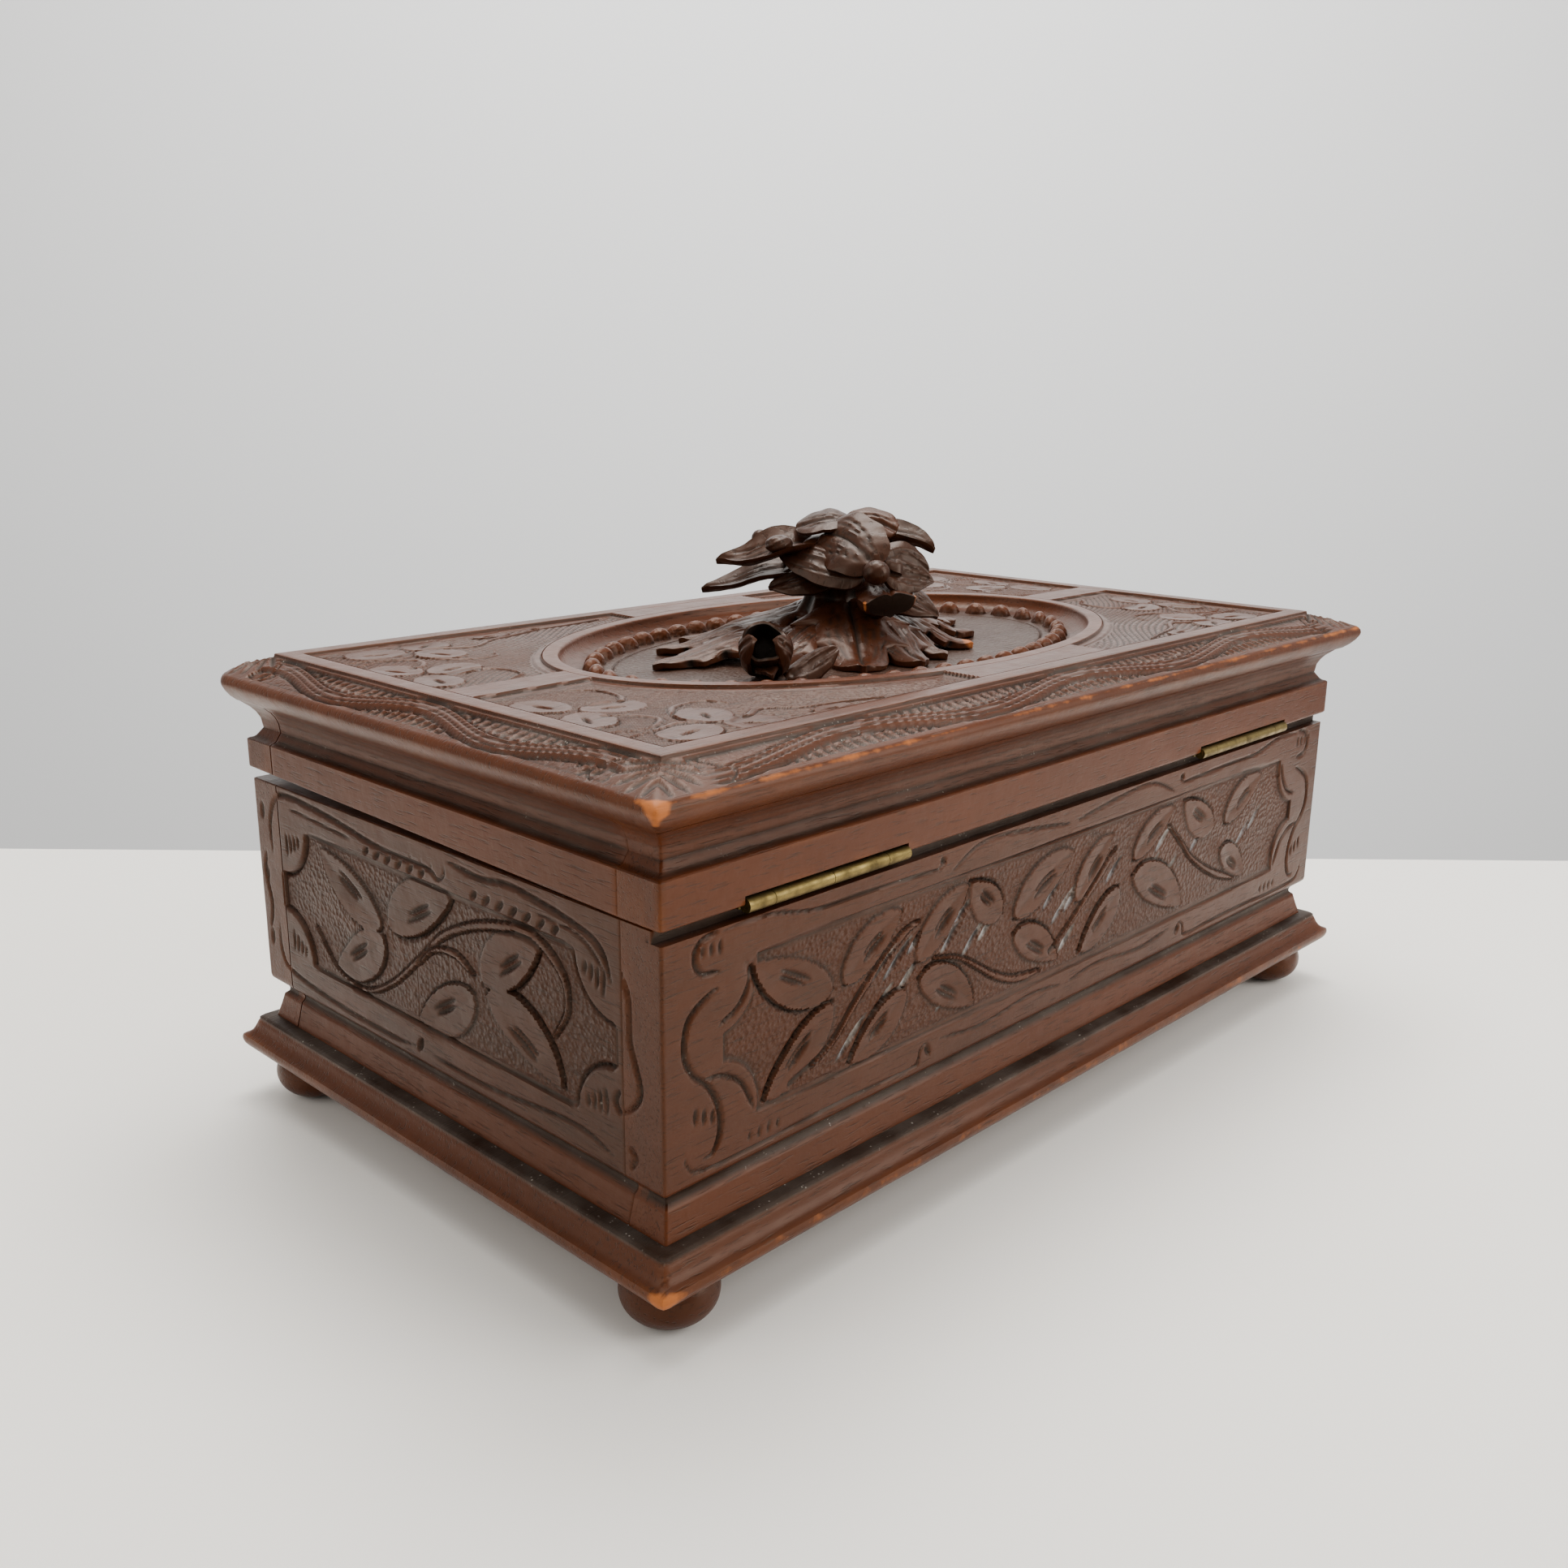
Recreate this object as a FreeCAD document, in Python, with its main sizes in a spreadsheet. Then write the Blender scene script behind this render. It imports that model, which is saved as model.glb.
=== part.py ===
"""Carved wooden jewellery box: a moulded base board on four ball feet, four carved boards,
a hinged lid with a moulded frame, a top board with an oval recess and a foliage finial,
a half-mortise lock and padded linings.

Frame: millimetres, +Z up, +X to the right and -Y to the front, where the keyhole is.
The origin is on the table under the middle of the box. The hinges are on the +Y side.
"""
import FreeCAD
import Part
import Sketcher

import math
import os

doc = FreeCAD.newDocument("jewellery_box")

# ---------------------------------------------------------------- driving dimensions
SIZES = {
    # carcass
    "body_length": 270.0,       # outside of the end boards
    "body_width": 156.0,        # outside of the front and back boards
    "board_height": 65.0,       # base board to the top of the carcass
    "board": 11.5,              # thickness of the four boards
    "cove_top": 10.6,           # from the board's foot up to the carved panel
    "cove_depth": 3.2,          # how deep the cove runs in
    "cove_foot_in": 1.0,        # set-back of the face below the cove
    "cove_foot_height": 1.8,    # flat below the cove
    "field_depth": 0.8,         # carved field below the board's face
    "field_side": 24.0,         # border beside the field
    "field_border": 8.5,        # border above and below the field
    # base board
    "base_under": 13.1,         # underside above the table
    "base_thickness": 8.7,
    "base_nose": 6.6,           # overhang of its moulded edge
    "base_ledge": 2.9,          # width of the flat on top, outside the boards
    "base_fillet": 1.3,         # height of the square at the top of the moulding
    "base_ogee_radius": 5.2,
    "base_nose_height": 3.4,    # underside to the start of the ogee
    # feet
    "foot_radius": 10.5,
    "foot_flat": 4.0,           # radius of the flat it stands on
    "foot_inset": 7.4,          # centre in from the faces of the carcass
    "foot_dowel": 3.5,          # dowel radius
    "foot_dowel_length": 6.0,
    # lid
    "lid_gap": 0.3,             # carcass to lid at the hinges
    "lid_front_gap": 2.7,       # extra gap at the front, where the lid stands clear
    "lid_proud": 0.6,           # lid frame outside the carcass
    "lid_band": 10.0,           # height of the flat band
    "lid_cove": 9.5,            # height of the cove above the band
    "lid_cove_depth": 3.0,
    "lid_cove_out": 0.9,        # top of the cove outside the band
    "lid_thickness": 11.8,      # top board
    "lid_nose": 6.8,            # overhang of the top board past the back and the ends
    "lid_nose_front": 4.6,      # its overhang at the front
    "lid_nose_height": 5.2,     # underside to the widest line
    "lid_fillet_in": 5.6,       # raised flat starts this far inside the carcass faces
    "lid_fillet_width": 5.2,
    "lid_border_drop": 0.7,     # border below the raised flat at its edge
    "spandrel_depth": 0.8,
    "end_band": 10.4,           # flat band from the frame to the oval, at each end
    "side_band": 53.0,          # flat stretch between two spandrels, front and back
    "oval_length": 184.0,       # outside of the raised oval rim
    "oval_width": 118.0,
    "oval_rim": 4.0,
    "oval_depth": 4.6,
    # hinges
    "hinge_length": 48.5,
    "hinge_barrel": 1.5,        # barrel radius
    "hinge_pin": 0.6,           # pin radius
    "hinge_running": 0.05,      # radial clearance of the turning knuckles
    "hinge_leaf": 1.0,
    "hinge_leaf_width": 9.0,
    "hinge_out": 0.2,           # axis outside the back board's face
    "hinge_end_knuckle": 7.2,
    "hinge_knuckle_gap": 0.15,
    "hinge_clearance": 0.4,     # wood round the barrel
    "hinge_right": 89.5,        # middle of the right hinge from the box's middle
    "hinge_left": 84.0,         # middle of the left hinge from the box's middle
    "rebate_depth": 2.5,        # along the top of the back board
    "rebate_height": 2.65,
    # screws and pins
    "screw_head": 1.9,
    "screw_shank": 0.9,
    "screw_length": 7.0,
    "screw_countersink": 0.9,
    "pin_shank": 0.5,
    "pin_wood": 0.8,            # wood left between a pin's point and the lock
    # lock
    "lock_height": 19.0,
    "lock_depth": 6.5,
    "lock_wall": 0.8,
    "lock_plate": 1.0,
    "lock_plate_ear": 3.0,      # plate past each side of the case
    "lock_clearance": 0.2,      # wood round the case
    "link_spacing": 11.0,       # between the two links of the strike
    "link_thickness": 1.2,
    "link_width": 3.4,
    "link_drop": 7.5,           # below the carcass top
    "link_eye_width": 2.0,
    "link_eye_height": 2.6,
    "link_eye_wall": 1.2,       # metal under the eye
    "link_slot_clearance": 0.4,
    "bolt_travel": 4.5,
    "bolt_bar": 5.5,            # height of the sliding bar
    "bolt_thickness": 3.0,
    "bolt_end_room": 0.6,       # between the bolt and the case, at rest
    "bolt_floor": 2.4,          # bar above the floor of the lock
    "prong": 1.6,
    "prong_thickness": 1.2,
    "prong_clearance": 0.4,
    "keyhole": 2.0,             # radius of its round part
    "keyhole_slot": 1.6,
    "keyhole_length": 6.0,
    "escutcheon_length": 24.0,
    "escutcheon_width": 15.0,
    "escutcheon_thickness": 0.8,
    "escutcheon_margin": 2.5,   # plain wood round the keyhole plate
    # linings
    "lining": 2.0,
    "lining_below_top": 2.5,
    "floor_pad": 6.0,
    "lid_pad": 5.0,
    "pad_gap": 0.5,
    # finial
    "finial_height": 34.4,      # above the raised flats of the lid
    "finial_screw": 2.0,        # shank radius
    "finial_screw_head": 4.0,
    "finial_screw_bite": 14.0,  # into the finial
}

sheet = doc.addObject("Spreadsheet::Sheet", "sizes")
for row, (alias, number) in enumerate(SIZES.items(), start=1):
    sheet.set(f"A{row}", alias)
    sheet.set(f"B{row}", str(number))
    sheet.setAlias(f"B{row}", alias)
doc.recompute()


class Size:
    """A length with the spreadsheet expression that gives it, so that both stay together."""

    def __init__(self, value, text):
        self.value = value
        self.text = text

    def _joined(self, other, sign, value):
        text = other.text if isinstance(other, Size) else f"{other} mm"
        return Size(value, f"({self.text} {sign} {text})")

    def __add__(self, other):
        return self._joined(other, "+", self.value + number_of(other))

    def __sub__(self, other):
        return self._joined(other, "-", self.value - number_of(other))

    def __radd__(self, other):
        return self + other

    def __mul__(self, factor):
        text = factor.text if isinstance(factor, Size) else factor
        return Size(self.value * number_of(factor), f"({self.text} * {text})")

    def __truediv__(self, divisor):
        text = divisor.text if isinstance(divisor, Size) else divisor
        return Size(self.value / number_of(divisor), f"({self.text} / {text})")

    def __neg__(self):
        return self * -1


def number_of(size):
    """The plain number in a Size or a number."""
    return size.value if isinstance(size, Size) else float(size)


def cell(alias):
    """The Size in one cell of the sheet."""
    return Size(SIZES[alias], f"(sizes.{alias} * 1 mm)")


ZERO = Size(0.0, "0 mm")
S = {alias: cell(alias) for alias in SIZES}

# ---------------------------------------------------------------- levels and faces
half_length = S["body_length"] / 2
half_width = S["body_width"] / 2
inside_x = half_length - S["board"]
inside_y = half_width - S["board"]
base_top = S["base_under"] + S["base_thickness"]
body_top = base_top + S["board_height"]
lid_bottom = body_top + S["lid_gap"]
band_top = lid_bottom + S["lid_band"]
rail_top = band_top + S["lid_cove"]
lid_top = rail_top + S["lid_thickness"]
hinge_y = half_width + S["hinge_out"]
hinge_z = body_top + S["lid_gap"] / 2
oval_floor = lid_top - S["oval_depth"]
front_rail_bottom = lid_bottom + S["lid_front_gap"]
lock_back = -inside_y
lock_front = lock_back - S["lock_depth"]
lock_middle = lock_back - S["lock_depth"] / 2
plate_under = body_top - S["lock_plate"]
lock_floor = plate_under - S["lock_height"]
link_foot = body_top - S["link_drop"]
eye_low = link_foot + S["link_eye_wall"]
prong_low = eye_low + (S["link_eye_height"] - S["prong"]) / 2
key_z = lock_floor + S["bolt_floor"] + S["bolt_bar"]
plate_middle = key_z - S["keyhole_length"] / 4
strike_level = lid_bottom + S["lid_front_gap"] * 0.92
link_reach = S["link_spacing"] / 2 + S["link_thickness"] / 2 + S["prong_clearance"]
bolt_reach = link_reach + S["bolt_travel"] + S["prong"]
lock_half = bolt_reach + S["bolt_end_room"] + S["lock_wall"]
plate_half = lock_half + S["lock_plate_ear"]
MORE = 5.0      # how far a cutting tool runs past the piece it cuts

parts = {}      # node name: document object
cuts = []       # (cut, what it was cut from), to compare volumes


# ---------------------------------------------------------------- building blocks
def bind(target, name, size):
    """Ties a property to the sheet."""
    target.setExpression(name, size.text if isinstance(size, Size) else f"{size} mm")


def place(target, x=0.0, y=0.0, z=0.0):
    """Ties an object's place to the sheet."""
    for axis, size in zip("xyz", (x, y, z)):
        bind(target, f"Placement.Base.{axis}", size)
    return target


def keep(label, target):
    """Makes an object one of the box's pieces."""
    target.Label = label
    parts[label] = target
    return target


def box(label, low, high):
    """A block between two corners."""
    block = doc.addObject("Part::Box", label)
    for name, a, b in zip(("Length", "Width", "Height"), low, high):
        bind(block, name, b - a)
    return place(block, *low)


def cylinder(label, radius, length, x, y, z, axis="z"):
    """A cylinder that starts at x, y, z and runs along an axis."""
    rod = doc.addObject("Part::Cylinder", label)
    bind(rod, "Radius", radius)
    bind(rod, "Height", length)
    turns = {"x": ((0, 1, 0), 90), "y": ((1, 0, 0), -90), "z": ((0, 0, 1), 0)}
    direction, angle = turns[axis]
    rod.Placement.Rotation = FreeCAD.Rotation(FreeCAD.Vector(*direction), angle)
    return place(rod, x, y, z)


def fuse(label, pieces):
    """Several shapes as one solid."""
    whole = doc.addObject("Part::MultiFuse", label)
    whole.Shapes = pieces
    whole.Refine = True
    return whole


def group(label, pieces):
    """Separate solids that share one node."""
    whole = doc.addObject("Part::Compound", label)
    whole.Links = pieces
    return whole


def cut(label, base, tools):
    """Takes each tool away from the base."""
    for index, tool in enumerate(tools):
        piece = doc.addObject("Part::Cut", f"{label}_cut_{index}")
        piece.Base = base
        piece.Tool = tool
        cuts.append((piece, base))
        base = piece
    return base


def common(label, first, second):
    """What two shapes share."""
    shared = doc.addObject("Part::Common", label)
    shared.Base = first
    shared.Tool = second
    return shared


def plane_of(body, role):
    """One of a body's own origin planes."""
    return next(p for p in body.Origin.OriginFeatures if p.Role == role)


def outline(body, role, corners):
    """A closed sketch. A corner is (x, y) or (x, y, radius); the radius bends the edge to the
    next corner, to the left of the way it runs if it is positive."""
    sketch = body.newObject("Sketcher::SketchObject", f"{body.Name}_outline")
    sketch.AttachmentSupport = [(plane_of(body, role), "")]
    sketch.MapMode = "FlatFace"
    points = [FreeCAD.Vector(number_of(c[0]), number_of(c[1]), 0) for c in corners]
    ends = []
    for index, corner in enumerate(corners):
        start, end = points[index], points[(index + 1) % len(points)]
        if len(corner) == 2:
            edge = sketch.addGeometry(Part.LineSegment(start, end))
            ends.append((edge, 1, 2))
            continue
        radius = number_of(corner[2])
        chord = end - start
        side = FreeCAD.Vector(-chord.y, chord.x, 0).normalize()
        rise = math.sqrt(radius**2 - (chord.Length / 2) ** 2)
        centre = (start + end) * 0.5 + side * rise * math.copysign(1, radius)
        begin, finish = start - centre, end - centre
        if radius < 0:
            begin, finish = finish, begin
        arc = Part.ArcOfCircle(
            Part.Circle(centre, FreeCAD.Vector(0, 0, 1), abs(radius)),
            math.atan2(begin.y, begin.x), math.atan2(finish.y, finish.x))
        edge = sketch.addGeometry(arc)
        first, last = (1, 2) if radius > 0 else (2, 1)
        ends.append((edge, first, last))
        limit = sketch.addConstraint(Sketcher.Constraint("Radius", edge, abs(radius)))
        bend = corner[2] if radius > 0 else -corner[2]
        bind(sketch, f"Constraints[{limit}]", bend)
    for index, (edge, first, last) in enumerate(ends):
        following, next_first, _ = ends[(index + 1) % len(ends)]
        sketch.addConstraint(Sketcher.Constraint("Coincident", edge, last, following, next_first))
        for kind, size in zip(("DistanceX", "DistanceY"), corners[index]):
            held = sketch.addConstraint(
                Sketcher.Constraint(kind, -1, 1, edge, first, number_of(size)))
            bind(sketch, f"Constraints[{held}]", size)
    return sketch


def pad(label, role, corners, length):
    """An outline pushed out equally to both sides of its plane."""
    body = doc.addObject("PartDesign::Body", label)
    sketch = outline(body, role, corners)
    feature = body.newObject("PartDesign::Pad", f"{label}_pad")
    feature.Profile = sketch
    feature.Midplane = True
    bind(feature, "Length", length)
    body.Tip = feature
    return body


def turned(label, corners):
    """An outline in the XZ plane turned once round the Z axis."""
    body = doc.addObject("PartDesign::Body", label)
    sketch = outline(body, "XZ_Plane", corners)
    feature = body.newObject("PartDesign::Revolution", f"{label}_turning")
    feature.Profile = sketch
    feature.ReferenceAxis = (sketch, ["V_Axis"])
    feature.Angle = 360
    body.Tip = feature
    return body


def moulded(label, edge, half_x, half_y, front_share=1.0):
    """A board with the same moulding on all four edges: where two long mouldings meet.
    edge lists (out, z) from the underside to the top, out being past the carcass's face.
    front_share is how much of each overhang the front edge has."""
    def across(half, share):
        rising = [(half + point[0], *point[1:]) for point in edge]
        falling = []
        for index in range(len(edge) - 1, -1, -1):
            out, z = edge[index][:2]
            bend = edge[index - 1][2:] if index else ()
            if number_of(out) > 0 and isinstance(share, Size):
                out = out * share
            falling.append((-(half + out), z, *bend))
        return rising + falling

    along_x = pad(f"{label}_along_x", "YZ_Plane", across(half_y, front_share), (half_x + 20) * 2)
    along_y = pad(f"{label}_along_y", "XZ_Plane", across(half_x, 1.0), (half_y + 20) * 2)
    return common(f"{label}_blank", along_x, along_y)


def wood_screw(label, x, y, z, up, head, shank, length, countersink):
    """A countersunk screw whose head is flush at x, y, z and whose point is above or below."""
    cone = doc.addObject("Part::Cone", f"{label}_head")
    bind(cone, "Radius1", head)
    bind(cone, "Radius2", shank)
    bind(cone, "Height", countersink)
    rod = cylinder(f"{label}_shank", shank, length, x, y, z)
    if not up:
        for piece in (cone, rod):
            piece.Placement.Rotation = FreeCAD.Rotation(FreeCAD.Vector(1, 0, 0), 180)
    place(cone, x, y, z)
    return fuse(label, [cone, rod])


def small_screw(label, x, y, z, up):
    """The size of screw used for the hinges, the lock and the strike."""
    return wood_screw(label, x, y, z, up, S["screw_head"], S["screw_shank"],
                      S["screw_length"], S["screw_countersink"])


# ---------------------------------------------------------------- base and feet
def base_board():
    """One board with an ogee on its four edges, bored for the dowels of the feet."""
    nose = S["base_nose"]
    under = S["base_under"]
    edge = [
        (nose - 1.4, under),
        (nose - 0.3, under + 1.1),
        (nose, under + 2.6),
        (nose - 0.4, under + S["base_nose_height"], -S["base_ogee_radius"]),
        (S["base_ledge"] + 0.2, base_top - S["base_fillet"]),
        (S["base_ledge"], base_top),
    ]
    return moulded("base_board", edge, half_length, half_width)


def foot_outline():
    """Half the section of a ball foot and its dowel."""
    under = S["base_under"]
    top_radius = math.sqrt(SIZES["foot_radius"] ** 2 - (SIZES["base_under"] - foot_centre()) ** 2)
    top = Size(top_radius, "sqrt(sizes.foot_radius ^ 2 - (sizes.base_under"
               " - sqrt(sizes.foot_radius ^ 2 - sizes.foot_flat ^ 2)) ^ 2) * 1 mm")
    return [
        (ZERO, ZERO),
        (S["foot_flat"], ZERO, S["foot_radius"]),
        (top, under),
        (S["foot_dowel"], under),
        (S["foot_dowel"], under + S["foot_dowel_length"]),
        (ZERO, under + S["foot_dowel_length"]),
    ]


def foot_centre():
    """Height of the ball's centre, from its radius and the flat it stands on."""
    return math.sqrt(SIZES["foot_radius"] ** 2 - SIZES["foot_flat"] ** 2)


def build_base():
    """The base board on its four feet."""
    reach_x = half_length - S["foot_inset"]
    reach_y = half_width - S["foot_inset"]
    holes = []
    for side, sx in (("left", -1), ("right", 1)):
        for end, sy in (("front", -1), ("back", 1)):
            foot = turned(f"foot_{end}_{side}", foot_outline())
            place(foot, reach_x * sx, reach_y * sy, ZERO)
            keep(f"foot_{end}_{side}", foot)
            holes.append(cylinder(f"dowel_hole_{end}_{side}", S["foot_dowel"],
                                  S["foot_dowel_length"] + MORE, reach_x * sx, reach_y * sy,
                                  S["base_under"] - MORE))
    keep("base_board", cut("base_board", base_board(), holes))


# ---------------------------------------------------------------- carcass
def board_section(face, inner):
    """Section of a board: plain inside, with a cove under the carved panel outside."""
    sign = 1 if number_of(face) > 0 else -1
    foot = face - S["cove_foot_in"] * sign
    deep = face - S["cove_depth"] * sign
    panel = base_top + S["cove_top"]
    cove_foot = base_top + S["cove_foot_height"]
    bend = cell("cove_depth") * 1.2
    return [
        (foot, base_top),
        (foot, cove_foot, -bend * sign),
        (deep, (cove_foot + panel) / 2),
        (face, panel),
        (face, body_top),
        (inner, body_top),
        (inner, base_top),
    ]


def lock_boss():
    """The plain patch of the front board, left standing for the keyhole plate."""
    reach = S["escutcheon_width"] / 2 + S["escutcheon_margin"]
    low = plate_middle - S["escutcheon_length"] / 2 - S["escutcheon_margin"]
    return box("lock_boss", (-reach, -(half_width + MORE), low), (reach, ZERO, body_top))


def build_carcass():
    """Four boards: the front and back run full length and cover the ends of the other two."""
    field_low = base_top + S["cove_top"] + S["field_border"]
    field_high = body_top - S["field_border"]
    long_field = half_length - S["field_side"]
    short_field = half_width - S["field_side"]
    for label, sy in (("front_board", -1), ("back_board", 1)):
        blank = pad(f"{label}_blank", "YZ_Plane",
                    board_section(half_width * sy, inside_y * sy), S["body_length"])
        face, sunk = half_width * sy, (half_width - S["field_depth"]) * sy
        past = (half_width + MORE) * sy
        low_y, high_y = (past, sunk) if sy < 0 else (sunk, past)
        field = box(f"{label}_field", (-long_field, low_y, field_low),
                    (long_field, high_y, field_high))
        if sy < 0:
            field = cut("front_field", field, [lock_boss()])
        yield label, cut(f"{label}_carved", blank, [field])
    for label, sx in (("left_end_board", -1), ("right_end_board", 1)):
        blank = pad(f"{label}_blank", "XZ_Plane",
                    board_section(half_length * sx, inside_x * sx), inside_y * 2)
        sunk, past = (half_length - S["field_depth"]) * sx, (half_length + MORE) * sx
        low_x, high_x = (past, sunk) if sx < 0 else (sunk, past)
        field = box(f"{label}_field", (low_x, -short_field, field_low),
                    (high_x, short_field, field_high))
        yield label, cut(f"{label}_carved", blank, [field])


# ---------------------------------------------------------------- lid
def lid_rail_section(face, inner):
    """Section of a lid rail: a flat band below and a cove above."""
    sign = 1 if number_of(face) > 0 else -1
    outer = face + S["lid_proud"] * sign
    deep = outer - S["lid_cove_depth"] * sign
    over = outer + S["lid_cove_out"] * sign
    bend = S["lid_cove"] * 0.62
    return [
        (outer, lid_bottom),
        (outer, band_top),
        (deep, band_top + S["lid_cove"] * 0.36, -bend * sign),
        (over, rail_top),
        (inner, rail_top),
        (inner, lid_bottom),
    ]


def gap_wedge():
    """What is planed off under the lid, so that its front stands clear of the carcass."""
    low = lid_bottom - MORE
    front = -(half_width + MORE)
    return pad("gap_wedge", "YZ_Plane",
               [(inside_y, lid_bottom), (front, front_rail_bottom), (front, low), (inside_y, low)],
               S["body_length"] + 4 * MORE)


def build_lid_frame():
    """Four rails, jointed as the carcass is."""
    wedge = gap_wedge()
    for label, sy in (("lid_rail_front", -1), ("lid_rail_back", 1)):
        blank = pad(f"{label}_blank", "YZ_Plane",
                    lid_rail_section(half_width * sy, inside_y * sy),
                    S["body_length"] + S["lid_proud"] * 2)
        yield label, (cut(f"{label}_planed", blank, [wedge]) if sy < 0 else blank)
    for label, sx in (("lid_rail_left", -1), ("lid_rail_right", 1)):
        blank = pad(f"{label}_blank", "XZ_Plane",
                    lid_rail_section(half_length * sx, inside_x * sx), inside_y * 2)
        yield label, cut(f"{label}_planed", blank, [wedge])


def oval(label, trim, low, high):
    """An upright oval block, as long and wide as the raised rim less the trim all round."""
    ring = doc.addObject("Part::Ellipse", f"{label}_edge")
    bind(ring, "MajorRadius", S["oval_length"] / 2 - trim)
    bind(ring, "MinorRadius", S["oval_width"] / 2 - trim)
    place(ring, ZERO, ZERO, low)
    block = doc.addObject("Part::Extrusion", label)
    block.Base = ring
    block.Dir = FreeCAD.Vector(0, 0, 1)
    bind(block, "LengthFwd", high - low)
    block.Solid = True
    return block


def lid_top_board():
    """The top board: moulded edges, four sunk corner panels and an oval recess."""
    nose = S["lid_nose"]
    widest = rail_top + S["lid_nose_height"]
    border_top = lid_top - S["lid_border_drop"]
    frame_out = -S["lid_fillet_in"]
    edge = [
        (S["lid_proud"] + S["lid_cove_out"], rail_top),
        (nose - 2.0, rail_top + 2.0),
        (nose, widest),
        (nose - 1.4, widest + 2.2),
        (nose - 6.5, border_top - 1.6),
        (frame_out + 0.2, border_top),
        (frame_out, lid_top),
    ]
    blank = moulded("lid_top_board", edge, half_length, half_width,
                    S["lid_nose_front"] / S["lid_nose"])
    panel_x = half_length - S["lid_fillet_in"] - S["lid_fillet_width"]
    panel_y = half_width - S["lid_fillet_in"] - S["lid_fillet_width"]
    sunk = lid_top - S["spandrel_depth"]
    field = box("corner_panels", (-panel_x, -panel_y, sunk), (panel_x, panel_y, lid_top + MORE))
    end_band = box("end_band", (-half_length, -S["end_band"] / 2, sunk),
                   (half_length, S["end_band"] / 2, lid_top + MORE))
    side_band = box("side_band", (-S["side_band"] / 2, -half_width, sunk),
                    (S["side_band"] / 2, half_width, lid_top + MORE))
    rim = oval("oval_rim", ZERO, sunk, lid_top + MORE)
    corners = cut("corner_panels_left", field, [end_band, side_band, rim])
    recess = oval("oval_recess", S["oval_rim"], oval_floor, lid_top + MORE)
    return cut("lid_top_board", blank, [corners, recess])


# ---------------------------------------------------------------- hinges
def knuckle_spans():
    """Start and length of the four knuckles along a hinge, and whether the lid turns them."""
    end = S["hinge_end_knuckle"]
    middle = (S["hinge_length"] - end * 2) / 2
    gap = S["hinge_knuckle_gap"]
    start = -(S["hinge_length"] / 2)
    spans = []
    for index, length in enumerate((end, middle, middle, end)):
        spans.append((start, length - gap, index % 2 == 1))
        start = start + length
    return spans


def hinge_leaf(label, middle, on_lid):
    """A flat leaf with its two knuckles, bored for the pin."""
    low = lid_bottom if on_lid else body_top - S["hinge_leaf"]
    high = low + S["hinge_leaf"]
    inner = hinge_y - S["hinge_leaf_width"]
    clear = hinge_y - S["hinge_barrel"] - S["hinge_clearance"] / 2
    half = S["hinge_length"] / 2
    pieces = [box(f"{label}_plate", (middle - half, inner, low), (middle + half, clear, high))]
    for index, (start, length, lid_turns) in enumerate(knuckle_spans()):
        if lid_turns != on_lid:
            continue
        begin = middle + start
        pieces.append(box(f"{label}_tab_{index}", (begin, clear, low),
                          (begin + length, hinge_y, high)))
        pieces.append(cylinder(f"{label}_knuckle_{index}", S["hinge_barrel"], length,
                               begin, hinge_y, hinge_z, "x"))
    radius = S["hinge_pin"] + S["hinge_running"] if on_lid else S["hinge_pin"]
    bore = cylinder(f"{label}_bore", radius, S["hinge_length"] + 2 * MORE,
                    middle - half - MORE, hinge_y, hinge_z, "x")
    return cut(f"{label}_bored", fuse(f"{label}_blank", pieces), [bore])


def hinge_screws(label, middle, on_lid):
    """Three screws through a leaf."""
    pitch = S["hinge_length"] / 3
    y = hinge_y - S["hinge_leaf_width"] * 0.6
    face = lid_bottom if on_lid else body_top
    return [small_screw(f"{label}_{step + 1}", middle + pitch * step, y, face, on_lid)
            for step in (-1, 0, 1)]


def leaf_seat(label, middle, on_lid):
    """The mortise that lets a leaf in flush."""
    low = lid_bottom - (MORE if on_lid else 0) if on_lid else body_top - S["hinge_leaf"]
    high = lid_bottom + S["hinge_leaf"] if on_lid else body_top + MORE
    half = S["hinge_length"] / 2
    return box(label, (middle - half, hinge_y - S["hinge_leaf_width"], low),
               (middle + half, half_width + MORE, high))


def build_hinges():
    """Two butt hinges. Gives the wood tools for the back board and the back rail."""
    board_tools, rail_tools, screws = [], [], {False: [], True: []}
    for side, middle in (("right", S["hinge_right"]), ("left", -S["hinge_left"])):
        for on_lid, tools in ((False, board_tools), (True, rail_tools)):
            name = f"hinge_leaf_{'upper' if on_lid else 'lower'}_{side}"
            own = hinge_screws(f"{name}_screw", middle, on_lid)
            screws[on_lid] += own
            leaf = cut(f"{name}_drilled", hinge_leaf(name, middle, on_lid), own)
            keep(name, leaf)
            tools.append(leaf_seat(f"{name}_seat", middle, on_lid))
        half = S["hinge_length"] / 2
        rail_tools.append(cylinder(
            f"barrel_room_{side}", S["hinge_barrel"] + S["hinge_clearance"],
            S["hinge_length"] + S["hinge_clearance"], middle - half - S["hinge_clearance"] / 2,
            hinge_y, hinge_z, "x"))
        keep(f"hinge_pin_{side}", cylinder(
            f"hinge_pin_{side}_rod", S["hinge_pin"], S["hinge_length"] - S["hinge_knuckle_gap"],
            middle - half, hinge_y, hinge_z, "x"))
    keep("hinge_screws_carcass", group("carcass_screws", screws[False]))
    keep("hinge_screws_lid", group("lid_screws", screws[True]))
    rebate = box("hinge_rebate",
                 (-half_length - MORE, half_width - S["rebate_depth"],
                  body_top - S["rebate_height"]),
                 (half_length + MORE, half_width + MORE, body_top + MORE))
    return [rebate, *board_tools, *screws[False]], [*rail_tools, *screws[True]]


# ---------------------------------------------------------------- lock

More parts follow.
